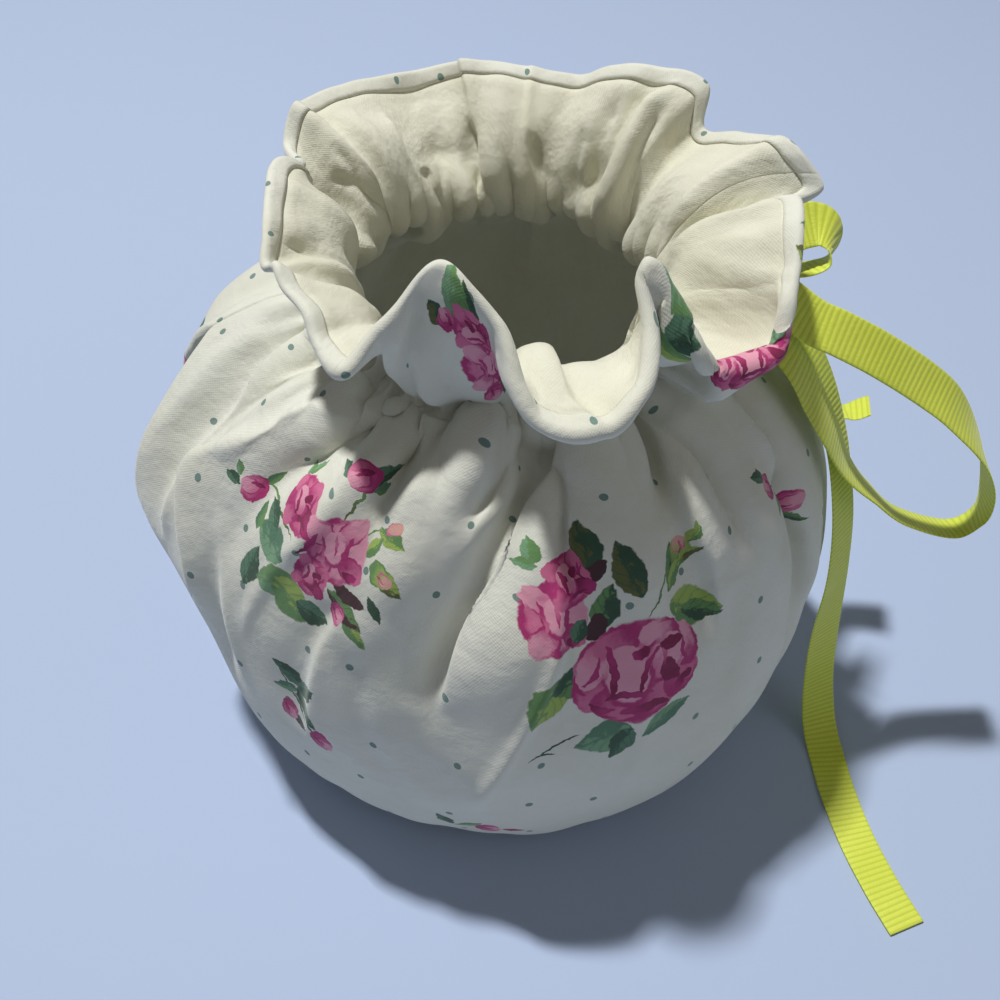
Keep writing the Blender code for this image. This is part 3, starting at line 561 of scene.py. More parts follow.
# Clusters of flowers: where each one's middle is (deg, run), then its shapes in painting order, as kind, x, y,
# long, wide, turn, and for leaves and stems also bend, light and dark. A turn of 0 points to the right.
CLUSTERS = {
    "large": {"deg": 291.5, "run": 97, "shapes": [
        ("petal", -19, -15.5, 13, 0.7, 200, 0.6, "forest", "forest"),
        ("petal", -21, -17, 5, 0.6, 165, 0.4, "forest", "forest"),
        ("petal", 6.5, 15.5, 11, 0.7, 50, -0.5, "green", "olive"),
        ("petal", 13, 21, 8, 0.6, 60, -0.5, "green", "olive"),
        ("leaf", -7.5, -16, 14, 9, 190, 0.1, "mint", "teal"),
        ("leaf", -3.5, -18.5, 9, 6, 240, 0.1, "teal", "forest"),
        ("leaf", 6.8, -14.5, 13, 5, 22, -0.2, "mint", "teal"),
        ("leaf", -20.5, -3, 13, 8.5, 235, 0.1, "lime", "green"),
        ("leaf", -15, 1, 12, 7, 200, -0.2, "green", "forest"),
        ("leaf", -8.2, 30, 12, 7.5, 80, 0.1, "olive", "forest"),
        ("petal", -7.5, 25, 8, 4, 20, 0.3, "maroon", "maroon"),
        ("leaf", -21, 29.5, 6.5, 3.4, 80, 0.1, "mint", "green"),
        ("leaf", -22.8, 26.5, 4.8, 2.6, 175, 0.1, "mint", "green"),
        ("leaf", 0.5, 23.5, 14.5, 6.8, 105, -0.15, "olive", "forest"),
        ("leaf", -6.2, 16, 12, 7.5, 62, 0.1, "green", "forest"),
        ("petal", -9, 12, 7, 5, 60, 0.2, "maroon", "maroon"),
        ("leaf", 11, 19.5, 11, 3.8, 68, 0.2, "green", "forest"),
        ("peach bud", 15.2, 21, 9.5, 7, 72),
        ("leaf", 12.5, 17, 8, 3.6, 35, -0.2, "lime", "green"),
        ("leaf", 19, 25, 5.5, 2.8, 65, 0.1, "lime", "green"),
        ("leaf", 17.5, 20, 6, 2.4, 30, 0.1, "lime", "olive"),
        ("leaf", 15.8, 8.5, 16, 8.6, -24, 0.12, "lime", "green"),
        ("leaf", 17.5, 6.6, 12, 4.4, -24, 0.2, "green", "forest"),
        ("pale rose", -18, 15.5, 15, 19, 0),
        ("small rose", -14, 23, 13, 12, 20),
        ("leaf", -13, 12, 6.5, 4.5, 60, 0.1, "teal", "forest"),
        ("full rose", 0, -0.6, 33.5, 23, -5),
    ]},
    "small": {"deg": 235, "run": 117, "shapes": [
        ("petal", -14, 4, 20, 0.7, 165, 0.6, "green", "olive"),
        ("petal", 8, 17, 13, 0.7, 75, 0.5, "green", "olive"),
        ("petal", 13, 9, 14, 0.6, 25, 0.5, "green", "olive"),
        ("petal", -16, -14.5, 7, 0.6, 215, 0.5, "green", "green"),
        ("leaf", -16.3, -11, 11, 6, 75, 0.1, "teal", "forest"),
        ("leaf", -12.2, -3, 13, 8.5, 170, 0.1, "mint", "teal"),
        ("leaf", -14.5, 2, 9, 5, 150, 0.1, "teal", "forest"),
        ("leaf", -8, -10, 13, 8, 200, -0.1, "mint", "green"),
        ("leaf", -2.5, -12.5, 14, 9.5, -28, 0.1, "lime", "green"),
        ("leaf", 3, -13.5, 9, 6, -10, 0.1, "teal", "forest"),
        ("leaf", 15, -12, 9, 4, -50, 0.1, "lime", "green"),
        ("leaf", 12, -8.5, 12, 4.6, -30, 0.2, "green", "maroon"),
        ("petal", 12.5, -5, 10, 3.4, -18, 0.2, "maroon", "maroon"),
        ("bud", 10, -10, 6.5, 5, -50),
        ("leaf", 19.5, -6, 6, 2.4, -62, 0.1, "forest", "forest"),
        ("leaf", 22, 1, 8, 4.5, -38, 0.1, "lime", "olive"),
        ("peach bud", 20, 2, 8, 5.5, -30),
        ("leaf", 21, 10, 8, 4.2, 160, 0.1, "lime", "green"),
        ("leaf", 17, 7, 8, 3.6, 40, 0.1, "lime", "green"),
        ("petal", 22, 12.5, 4, 2.4, 40, 0.1, "peach", "peach"),
        ("leaf", 11, 24, 9, 3.6, 60, 0.1, "teal", "forest"),
        ("leaf", 3, 21.5, 7.5, 3.2, 165, 0.1, "teal", "forest"),
        ("bud", 7.8, 21.5, 7.5, 5.4, 200),
        ("leaf", 12.5, 20.5, 5.5, 2.6, 15, 0.1, "teal", "green"),
        ("leaf", -9.5, 16.5, 7, 2.8, 60, 0.1, "mint", "green"),
        ("leaf", -12, 15.5, 5.5, 2.4, 125, 0.1, "mint", "green"),
        ("leaf", -19, -0.5, 7, 3.2, 100, 0.1, "teal", "green"),
        ("leaf", -21.5, 8, 6.5, 3, 60, 0.1, "teal", "green"),
        ("leaf", -31, 3, 6, 2.6, 170, 0.1, "teal", "forest"),
        ("leaf", -30.5, 6, 5, 2.4, 125, 0.1, "mint", "green"),
        ("bud", -24.5, 3.5, 9.5, 7, 170),
        ("small rose", -6, 9, 15, 13.5, 12),
        ("pale rose", 6.8, 4, 18, 19, 10),
        ("small rose", 1.5, -4.5, 12, 10.5, -15),
        ("petal", -1, 3.5, 9, 1.2, 60, 0.8, "magenta", "wine"),
    ]},
    "sprig": {"deg": 234, "run": 78, "shapes": [
        ("petal", -1, 1, 14, 0.7, -55, 0.5, "forest", "olive"),
        ("petal", 3, -3, 12, 0.7, -50, -0.5, "forest", "olive"),
        ("leaf", -2, 6.5, 10.5, 4.6, 155, 0.1, "teal", "forest"),
        ("leaf", 3, 5, 8, 4, 35, 0.1, "teal", "forest"),
        ("leaf", -3.5, 2, 7, 3, 190, 0.1, "mint", "teal"),
        ("leaf", 3, -0.5, 10, 3.6, -48, 0.2, "teal", "forest"),
        ("leaf", 0.5, -6, 6, 2.2, -35, 0.1, "forest", "maroon"),
        ("bud", -2.7, -4, 8, 4, -62),
        ("bud", 6.8, -7, 9.5, 4, -48),
    ]},
    "peak": {"deg": 261.5, "run": 189, "shapes": [
        ("leaf", -7.5, 13.5, 11, 5, 95, 0.1, "mint", "green"),
        ("leaf", -3.4, 12.5, 10, 4.2, 112, 0.1, "green", "forest"),
        ("leaf", -11.5, 8, 7, 3.4, 130, 0.1, "olive", "forest"),
        ("leaf", 9.5, -1, 13, 6, -66, 0.1, "mint", "green"),
        ("leaf", 8.5, -11, 10, 5, -80, 0.1, "green", "forest"),
        ("bud", -8.5, 7, 6.5, 4.6, 110),
        ("bud", 4, -12.5, 9, 6.5, -80),
        ("small rose", -1.8, 7, 12, 12.5, 95),
        ("pale rose", 2.6, -2.5, 14, 20, 12),
    ]},
    "lobe": {"deg": 322, "run": 200.5, "shapes": [
        ("leaf", 38, 2, 12, 5, 100, 0.1, "mint", "teal"),
        ("leaf", 31, 4, 10, 4.4, 60, 0.1, "lime", "olive"),
        ("leaf", -15.5, 6.5, 11, 6, 100, 0.1, "mint", "green"),
        ("leaf", -11, 3, 11, 5.6, 65, 0.1, "teal", "forest"),
        ("leaf", -14, -4, 9, 4.6, 200, 0.1, "lime", "green"),
        ("leaf", 17.5, 3.5, 10, 5, 58, 0.1, "mint", "teal"),
        ("leaf", 16, -4, 8, 4, -30, 0.1, "teal", "forest"),
        ("bud", 18, -1, 6.5, 5, 20),
        ("small rose", -4, -1.5, 13, 12, 100),
        ("full rose", 7, -1, 23, 16, 5),
    ]},
    "side": {"deg": 331, "run": 113, "shapes": [
        ("petal", -1, 0, 18, 0.7, -45, 0.4, "green", "olive"),
        ("leaf", -5, 0.5, 8, 3.8, 215, 0.1, "mint", "green"),
        ("leaf", 1, 2.5, 9, 4, 40, 0.1, "teal", "forest"),
        ("leaf", 6, -10, 7.5, 3.4, -40, 0.1, "green", "forest"),
        ("leaf", -10.5, 10, 6.5, 3, 135, 0.1, "teal", "forest"),
        ("bud", -8, 6, 8, 5, 130),
        ("bud", 6.5, -6, 9, 5.2, -40),
    ]},
    "corner": {"deg": 206, "run": 190, "shapes": [
        ("leaf", -8, 2, 10, 5, 170, 0.1, "mint", "green"),
        ("leaf", 7, 5, 10, 5, 40, 0.1, "teal", "forest"),
        ("leaf", 5, -6, 9, 4.4, -45, 0.1, "lime", "green"),
        ("small rose", 0, 0, 12, 12, 60),
    ]},
    "low": {"deg": 262.5, "run": 50, "shapes": [
        ("leaf", -4, 1.5, 8, 3.8, 115, 0.1, "teal", "forest"),
        ("leaf", 1.5, -1.5, 8, 3.4, 200, 0.1, "mint", "green"),
        ("bud", 6.5, -4, 10, 5.5, -12),
        ("leaf", 13, -4.5, 6, 2.6, -15, 0.1, "magenta", "wine"),
    ]},
}

# Stage, in metres and watts. Each light: where it stands, where it aims, its power and its size.
LIGHTS = {"key": ((-0.37, 0.27, 1.66), (0, 0, 0.08), 25.4, 0.10), "fill": ((1.1, -0.7, 1.0), (0, 0, 0.06), 1.8, 1.2)}
WORLD_COLOUR, WORLD_STRENGTH = (0.97, 0.94, 0.91, 1.0), 0.115
FLOOR_COLOUR, FLOOR_GAP = (0.46, 0.55, 0.74, 1.0), 0.0001
LENS_MM, SENSOR_MM, LENS_SHIFT = 39.6, 36.0, -0.003
CAMERA_FROM_AXIS, CAMERA_TILT = (0.0, -0.1888, 0.2848), 40.8

# Rows of the cloth: where the spacing changes, and the spacing from there on, in mm.
ROW_SPANS = ((0.0, 1.0), (16.0, 1.3), (132.0, 0.8))
EDGE_AT = RIM_AT - HALF
REST_HEIGHT = 0.05      # nothing of the cloth goes below this, in mm
COLUMNS = {"printed": 400, "plain": 300}


def turn(degrees):
    """The same angle, brought between -180 and 180."""
    return (degrees + 180.0) % 360.0 - 180.0


def hump(x):
    return np.exp(-x * x)


def soft_step(x):
    x = np.clip(x, 0.0, 1.0)
    return x * x * (3.0 - 2.0 * x)


def round_table(deg, table):
    """The second column of a table at each angle round the neck, easing from row to row."""
    knots, values = np.array(table + [(table[0][0] + 360.0, table[0][1])]).T
    deg = (deg - knots[0]) % 360.0 + knots[0]
    i = np.clip(np.searchsorted(knots, deg, side="right") - 1, 0, len(knots) - 2)
    share = soft_step((deg - knots[i]) / (knots[i + 1] - knots[i]))
    return values[i] + (values[i + 1] - values[i]) * share


# ---------------------------------------------------------------- the middle surface, as in the solids

def profile(run):
    """Radius and height of the smooth body at a run of the cloth, up to the neck."""
    low = np.clip((run - FOOT_AT) / LOWER_RUN, 0.0, 1.0) * math.pi / 2
    high = np.clip((run - BELLY_AT) / UPPER_RUN, 0.0, 1.0) * math.pi / 2
    radius = np.minimum(HEM_RADIUS + run, FOOT_RADIUS)
    radius = radius + (BELLY_RADIUS - FOOT_RADIUS) * np.sin(low)
    radius = radius - (BELLY_RADIUS - NECK_RADIUS) * (1.0 - np.cos(high))
    height = PRINT_FACE + (BELLY_HEIGHT - PRINT_FACE) * (1.0 - np.cos(low))
    height = height + (NECK_HEIGHT - BELLY_HEIGHT) * np.sin(high)
    return radius, height


def fold_depth(deg, run, radius, table, ends, limits):
    """How far a table's folds move the cloth. The limits say how far along its line a fold still turns."""
    total = np.zeros_like(deg)
    end, fade, start = ends
    for top_deg, top_run, foot_deg, foot_run, half_width, depth in table:
        along = (top_run - run) / (top_run - foot_run)
        centre = top_deg + turn(foot_deg - top_deg) * np.clip(along, *limits)
        across = np.radians(turn(deg - centre)) * radius
        share = soft_step((end - along) / fade) * soft_step(1.0 + along / start)
        total = total + depth * share * hump(across / half_width)
    return total


def body_point(deg, run):
    run = np.clip(run, 0.0, NECK_AT)
    radius, height = profile(run)
    step = 0.5
    ahead_radius, ahead_height = profile(np.minimum(run + step, NECK_AT))
    back_radius, back_height = profile(np.maximum(run - step, 0.0))
    rise, spread = ahead_height - back_height, ahead_radius - back_radius
    length = np.hypot(rise, spread)
    out, up = rise / length, -spread / length
    lift = fold_depth(deg, run, radius, FOLDS, FOLD_ENDS, (0.0, 1.0)) * soft_step((NECK_AT - run) / NECK_FADE)
    for centre, middle, bulge, half_width, half_height in BULGES:
        radius = radius + bulge * hump(turn(deg - centre) / half_width) * hump((height - middle) / half_height)
    radius = radius + lift * out
    height = height + lift * up
    angle = np.radians(deg)
    below_neck = soft_step((NECK_AT - run) / ROUND_ABOVE)
    wide = radius * (1.0 + WIDEN * below_neck)
    deep = radius * (1.0 - FLATTEN * below_neck)
    return np.stack([wide * np.cos(angle), deep * np.sin(angle), height], axis=-1)


def rim_table():
    """The rim's rows as arrays, with a few rows repeated at both ends so that the loop closes."""
    neck, deg, radius, height, swell = np.array(RIM).T
    angle = np.radians(deg)
    data = np.stack([radius * np.cos(angle), radius * np.sin(angle), height, swell], axis=-1)
    neck = np.concatenate([neck[-3:] - 360.0, neck, neck[:3] + 360.0])
    return neck, np.concatenate([data[-3:], data, data[:3]])


def rim_at(deg):
    """Rim point and swell at a neck angle: a smooth curve through the rows."""
    knots, data = rim_table()
    deg = (np.asarray(deg) - knots[3]) % 360.0 + knots[3]
    slope = np.zeros_like(data)
    slope[1:-1] = (data[2:] - data[:-2]) / (knots[2:] - knots[:-2])[:, None]
    i = np.clip(np.searchsorted(knots, deg, side="right") - 1, 1, len(knots) - 3)
    width = knots[i + 1] - knots[i]
    s = ((deg - knots[i]) / width)[..., None]
    width = width[..., None]
    value = (2 * s**3 - 3 * s**2 + 1) * data[i] + (s**3 - 2 * s**2 + s) * width * slope[i]
    value = value + (3 * s**2 - 2 * s**3) * data[i + 1] + (s**3 - s**2) * width * slope[i + 1]
    return value[..., :3], value[..., 3:]


def frill_point(deg, run):
    """From the neck up and over to the rim."""
    angle = np.radians(deg)
    neck = body_point(deg, np.full_like(deg, NECK_AT))
    rim, swell = rim_at(deg)
    chord = rim - neck
    chord = chord / np.linalg.norm(chord, axis=-1, keepdims=True)
    along_neck = np.stack([-np.sin(angle), np.cos(angle), np.zeros_like(angle)], axis=-1)
    up_in = np.cross(chord, along_neck)
    bend = (neck + rim) / 2 + 2.0 * swell * up_in
    t = ((run - NECK_AT) / FRILL_RUN)[..., None]
    return (1 - t) ** 2 * neck + 2 * t * (1 - t) * bend + t**2 * rim


def raw_point(deg, run):
    body = body_point(deg, run)
    frill = frill_point(deg, run)
    return np.where((run > NECK_AT)[..., None], frill, body)


def smooth_place(deg, run):
    """A point of the solids' middle surface, in mm from the foot of the neck's axis."""
    reach = NECK_ROUNDING * hump((run - NECK_AT) / NECK_REACH)
    return sum(share * raw_point(deg, run + offset * reach) for offset, share in ROUNDING_SHARES)


# ---------------------------------------------------------------- the same surface with its finer shape

def unit(vectors):
    return vectors / np.linalg.norm(vectors, axis=-1, keepdims=True)


def directions(points):
    """Unit directions round the neck, up the run and out of the printed side, over a grid of points."""
    up, side = np.gradient(points, axis=0), np.gradient(points, axis=1)
    return unit(side), unit(up), unit(np.cross(side, up))


def wave(deg, count, seed):
    """An uneven wave with about count crests round the neck, from -1 to 1."""
    angle = np.radians(deg)
    drift = 1.3 * np.sin(3 * angle + seed) + 0.9 * np.sin(7 * angle + 2.1 * seed) + 0.5 * np.sin(13 * angle + seed)
    return np.sin(count * angle + drift)


def gather_shape(deg, run):
    """Puffs and pinches of the gathered cloth, in mm towards the printed side."""
    above = np.maximum(run - NECK_AT, 0.0) / GATHER_UP
    below = np.maximum(NECK_AT - run, 0.0) / GATHER_DOWN
    uneven = 0.75 + 0.25 * wave(deg, 5, 0.7)
    fine = GATHER_DEPTH * wave(deg, GATHERS, 1.9) * hump(above) * hump(below) * uneven
    foot = NECK_AT - PLEAT_FOOT - PLEAT_UNEVEN * wave(deg, 9, 2.6)
    coarse = PLEAT_DEPTH * wave(deg, PLEATS, 0.4) * soft_step((run - foot + PLEAT_GROW) / PLEAT_SPAN)
    return fine + coarse * soft_step((RIM_AT - PLEAT_STOP - run) / PLEAT_FADE)


def frill_radius(run):
    return NECK_RADIUS + FRILL_SPREAD * np.maximum(run - NECK_AT, 0.0)


def rumple(deg, run):
    """Slow unevenness of soft cloth, in mm. Whole numbers of waves go round the neck."""
    angle = np.radians(deg)
    coarse = np.sin(9 * angle + 1.7 * np.sin(run / 23.0)) * np.sin(run / 12.7 + 1.3 * np.sin(5 * angle))
    fine = np.sin(19 * angle + 2.1 * np.sin(run / 11.0) + 1.0) * np.sin(run / 6.1 + 1.9 * np.sin(10 * angle))
    return (RUMPLE_DEPTH * coarse + RUMPLE_FINE * fine) * soft_step(run / RUMPLE_FROM)


def hem_shape(deg, run):
    """The hem's stitching draws the cloth in at small puckers."""
    puff = HEM_DEPTH * wave(deg, HEM_PUCKERS, 3.3) * hump((run - HEM_PUFF_AT) / HEM_PUFF_SPAN)
    return puff - STITCH_DEPTH * hump((run - STITCH_AT) / STITCH_HALF)


def line_shape(deg, run, line):
    """Distance round the neck from a line on the cloth, in mm, and how far the line's ends fade there."""
    runs, places = np.array(line[::-1], float).T
    centre = sum(np.interp(run + offset, runs, places) for offset in LINE_OFFSETS) / len(LINE_OFFSETS)
    radius = np.where(run < NECK_AT, profile(run)[0], frill_radius(run))
    top, foot = runs[-1] + LINE_OFFSETS[-1] - run, run - runs[0] + LINE_OFFSETS[-1]
    return np.radians(turn(deg - centre)) * radius, soft_step(top / TUCK_FADES[0]) * soft_step(foot / TUCK_FADES[1])


def tuck_shape(deg, run):
    """The tucks and ridges, in mm towards the printed side."""
    total = np.zeros_like(deg)
    for step, lower_soft, higher_soft, lower, higher, line in TUCKS:
        across, fade = line_shape(deg, run, line)
        soft = np.where(across < 0.0, lower_soft, higher_soft)
        reach = np.where(across < 0.0, lower, higher)
        shape = step * fade * np.tanh(across / soft) * np.exp(-np.abs(across) / reach)
        total = total + np.where(shape > 0.0, TUCK_CREST, 1.0) * shape
    for height, half_width, line in RIDGES:
        across, fade = line_shape(deg, run, line)
        total = total + height * fade * hump(across / half_width)
    pinch = round_table(deg, PINCHES)
    below = hump((run - NECK_AT + PUFF_DOWN) / PUFF_RUN)
    return total - pinch * (hump((run - NECK_AT - PINCH_UP) / PINCH_RUN) - PINCH_PUFF * below)


def curl(points, up, out, deg, run):
    """Turns the rim's last stretch up towards the lining, and lets the frill out below it to make room."""
    length = round_table(deg[-1:], CURL_RUNS)
    starts = np.searchsorted(run[:, 0], RIM_AT - length[0])
    columns = np.arange(deg.shape[1])
    along, away = up[starts, columns], out[starts, columns]
    past = np.clip(run - (RIM_AT - length), 0.0, length)
    most = np.radians(round_table(deg[-1:], CURLS))
    reach, rise = np.zeros_like(deg), np.zeros_like(deg)
    for k in range(CURL_STEPS):
        angle = most * soft_step(past * (k + 0.5) / CURL_STEPS / length)
        reach = reach + past * np.cos(angle) / CURL_STEPS
        rise = rise + past * np.sin(angle) / CURL_STEPS
    offset = (reach - past)[..., None] * along - rise[..., None] * away
    firm = np.clip((length - CURL_SHORT) / CURL_SHORT, 0.0, 1.0)
    blend = CURL_BLEND + FIRM_BLEND * firm
    share = soft_step((run - (RIM_AT - blend)) / (blend - firm * length)) * (1.0 - FIRM_GIVE * firm)
    return points + offset - offset[-1:] * share[..., None]


def droop(points, deg, run):
    """Lets the rim hang where a lobe is heavy."""
    fall = round_table(deg, DROOPS) * soft_step((run - (RIM_AT - DROOP_FROM)) / DROOP_SPAN)
    angle = np.radians(deg)
    way = np.stack([DROOP_OUT * np.cos(angle), DROOP_OUT * np.sin(angle), np.full_like(angle, -1.0)], axis=-1)
    return points + fall[..., None] * way


def cloth(deg, run):
    """Points of the finished middle surface over a grid."""
    points = smooth_place(deg, run)
    _, up, out = directions(points)
    creases = fold_depth(deg, run, frill_radius(run), FRILL_FOLDS, FRILL_FOLD_ENDS, (-np.inf, np.inf))
    shape = gather_shape(deg, run) + creases + rumple(deg, run) + hem_shape(deg, run)
    points = points + out * shape[..., None]
    return droop(curl(points, up, out, deg, run), deg, run)


# ---------------------------------------------------------------- sheets of cloth

def spread_rows():
    """The runs of a sheet's rows, up to where its rim is rounded."""
    spans = ROW_SPANS + ((EDGE_AT, 0.0),)
    found = []
    for (start, step), (end, _) in zip(spans[:-1], spans[1:]):
        found.append(np.linspace(start, end, int(round((end - start) / step)), endpoint=False))
    return np.concatenate(found + [[EDGE_AT]])


def hole_half_angle(name, run):
    low, high, half_deg = HOLES[name]
    return half_deg * np.sin(math.pi * np.clip((run - low) / (high - low), 0.0, 1.0))


def rounding(run):
    """How far the side edges are rounded at each run, at the spout and at the handle, in mm."""
    found = []
    for name in ("spout", "handle"):
        open_share = soft_step(hole_half_angle(name, run) / OPEN_DEG)
        found.append(HALF * (SEAM_SHARE + (1.0 - SEAM_SHARE) * open_share))
    return found


def rounded_from(edge, run, mm, sense):
    """Where a sheet's last column stands so that its rounding, mm wide, ends at the edge."""
    spacing = np.linalg.norm(smooth_place(edge, run) - smooth_place(edge + sense, run), axis=-1)
    return edge + sense * mm / spacing


def panel_angles(side, run, columns):
    """A grid of angles for one panel, with one more column beyond each edge to take slopes from."""
    spout, handle = (SEAM_DEG + hole_half_angle(name, run) for name in ("spout", "handle"))
    spout_round, handle_round = rounding(run)
    if side == "front":
        start = rounded_from(SPOUT_DEG + spout, run, spout_round, 1.0)
        end = rounded_from(HANDLE_DEG + 360.0 - handle, run, handle_round, -1.0)
    else:
        start = rounded_from(HANDLE_DEG + handle, run, handle_round, 1.0)
        end = rounded_from(SPOUT_DEG - spout, run, spout_round, -1.0)
    share = np.arange(-1, columns + 2) / columns
    return start + (end - start) * share


def rim_puff(deg, run):
    """Change of the half thickness towards the rim, which is thin at the back and soft and full at the front."""
    full = round_table(deg, PUFFS) * (0.85 + 0.2 * wave(deg, PUFF_WAVES, 0.9))
    thin = FRILL_THIN * soft_step((run - NECK_AT - THIN_FROM) / THIN_SPAN)
    return full * soft_step((run - RIM_AT + PUFF_FROM) / PUFF_SPAN) - thin


def print_path(run):
    """Rows of the printed sheet: base row, angle round the edge, sign of the shift, groove, length along."""
    last = len(run) - 1
    path = []
    for k in range(SIDE_STEPS, 0, -1):
        angle = math.pi / 2 * k / SIDE_STEPS
        path.append((0, angle, -1.0, 0.0, -HALF * angle))
    for k in range(last + 1):
        path.append((k, 0.0, 1.0, 0.0, run[k]))
    for k in range(1, ROLL_STEPS + 1):
        angle = math.pi * k / ROLL_STEPS
        path.append((last, angle, 1.0, 0.0, run[last] + HALF * angle))
    over = run[last] + HALF * math.pi
    k = last - 1
    while run[last] - run[k] < RIM_BAND:
        path.append((k, math.pi, 1.0, 0.0, over + run[last] - run[k]))
        k -= 1
    path.append((k, math.pi, 1.0, SEAM_GROOVE * SEAM_LIP, over + run[last] - run[k]))
    path.append((k, math.pi, 1.0, SEAM_GROOVE, over + run[last] - run[k] + SEAM_GROOVE))
    return path, k


def lining_path(run, top):
    """Rows of the lining, from the hem up to the seam under the rim."""
    path = []
    for k in range(SIDE_STEPS + 1):
        angle = math.pi / 2 * (1 + k / SIDE_STEPS)
        path.append((0, angle, -1.0, 0.0, -HALF * (math.pi - angle)))
    for k in range(1, top):
        path.append((k, math.pi, 1.0, 0.0, run[k]))
    path[-1] = (*path[-1][:3], SEAM_GROOVE * SEAM_LIP, path[-1][4])
    path.append((top, math.pi, 1.0, SEAM_GROOVE, run[top]))
    return path


def sheet_grid(side, path, run, columns):
    """Points and flat places of a sheet whose rows follow a path over the base rows."""
    base_run = run[:, None]
    deg = panel_angles(side, base_run, columns)
    full_run = np.broadcast_to(base_run, deg.shape)
    middle = cloth(deg, full_run)
    across, up, out = directions(middle)
    puff, tuck = rim_puff(deg, full_run), tuck_shape(deg, full_run)
    rows_at = [step[0] for step in path]
    angle, sign, groove, length = np.array(path).T[1:, :, None]
    middle, across, up, out, puff, tuck = (grid[rows_at][:, 1:-1] for grid in (middle, across, up, out, puff, tuck))
    middle = middle + out * tuck[..., None]
    face = MIDDLE + (HALF + puff) * np.cos(angle) + groove
    shift = sign * (HALF + PUFF_SIDEWAYS * puff) * np.sin(angle)
    spout_round, handle_round = (mm[rows_at] for mm in rounding(base_run))
    left, right = (spout_round, handle_round) if side == "front" else (handle_round, spout_round)
    body = middle + out * face[..., None] + up * shift[..., None]
    flat_u = deg[rows_at][:, 1:-1] * MM_PER_DEG + (BACK_SHIFT if side == "back" else 0.0)
    parts = []
    for edge, mm, sense in ((0, left, -1.0), (-1, right, 1.0)):
        rounded = []
        for k in range(1, SIDE_STEPS + 1):
            tilt = math.pi / 2 * k / SIDE_STEPS
            height = MIDDLE + (face[:, edge] - MIDDLE) * math.cos(tilt)
            point = middle[:, edge] + out[:, edge] * height[:, None] + up[:, edge] * shift[:, edge, None]
            point = point + across[:, edge] * sense * mm * math.sin(tilt)
            rounded.append(np.column_stack([point, flat_u[:, edge] + sense * HALF * tilt]))
        parts.append(np.stack(rounded, axis=1))
    grid = np.concatenate([parts[0][:, ::-1], np.dstack([body, flat_u]), parts[1]], axis=1)
    return grid[..., :3], np.stack([grid[..., 3], np.broadcast_to(length, grid.shape[:2])], axis=-1)


def new_object(name, data):
    item = bpy.data.objects.new(name, data)
    bpy.context.scene.collection.objects.link(item)
    return item


def add_piece(name, points, faces):
    """A piece from points in mm, measured from the foot of the neck's axis."""
    mesh = bpy.data.meshes.new(name)
    mesh.from_pydata(((points.reshape(-1, 3) + NECK_AXIS) * MM).tolist(), [], faces.tolist())
    mesh.shade_smooth()
    return new_object(name, mesh)


def grid_faces(shape, flip=False):
    index = np.arange(shape[0] * shape[1]).reshape(shape)
    a, b, c, d = index[:-1, :-1], index[:-1, 1:], index[1:, 1:], index[1:, :-1]
    order = (a, d, c, b) if flip else (a, b, c, d)
    return np.stack(order, axis=-1).reshape(-1, 4)


def add_map(piece, name, places):
    """A UV map from one place for each vertex."""
    layer = piece.data.uv_layers.new(name=name)
    corner = np.empty(len(piece.data.loops), dtype=np.int32)
    piece.data.loops.foreach_get("vertex_index", corner)
    layer.uv.foreach_set("vector", places.reshape(-1, 2)[corner].astype(np.float32).ravel())


def add_sheet(name, side, path, run, flip):
    points, flat = sheet_grid(side, path, run, COLUMNS[name.split("_")[0]])
    points[..., 2] = np.maximum(points[..., 2], REST_HEIGHT)
    piece = add_piece(name, points, grid_faces(points.shape[:2], flip))
    add_map(piece, CLOTH_MAP, flat)
    share = np.stack(np.meshgrid(np.linspace(0, 1, flat.shape[1]), np.linspace(0, 1, flat.shape[0])), axis=-1)
    add_map(piece, BAKE_MAP, share)
    return piece


# ---------------------------------------------------------------- ribbon

def smooth_path(table, count):
    """Points spread along a smooth curve through the rows of a table."""
    points = np.array(table, float)
    padded = np.concatenate([2 * points[:1] - points[1:2], points, 2 * points[-1:] - points[-2:-1]])
    at = np.linspace(0.0, len(points) - 1.0, count)
    i = np.minimum(at.astype(int), len(points) - 2)
    s = (at - i)[:, None]
    a, b, c, d = padded[i], padded[i + 1], padded[i + 2], padded[i + 3]
    return 0.5 * (2 * b + (c - a) * s + (2 * a - 5 * b + 4 * c - d) * s**2 + (3 * b - a - 3 * c + d) * s**3)


def even_path(table):
    """Rows of a ribbon at even steps along it, and the length along it at each row, in mm."""
    fine = smooth_path(table, 60 * len(table))
    length = np.concatenate([[0.0], np.cumsum(np.linalg.norm(np.diff(fine[:, :3], axis=0), axis=1))])
    at = np.linspace(0.0, length[-1], int(length[-1] / RIB_STEP))
    return np.stack([np.interp(at, length, fine[:, k]) for k in range(6)], axis=-1), at


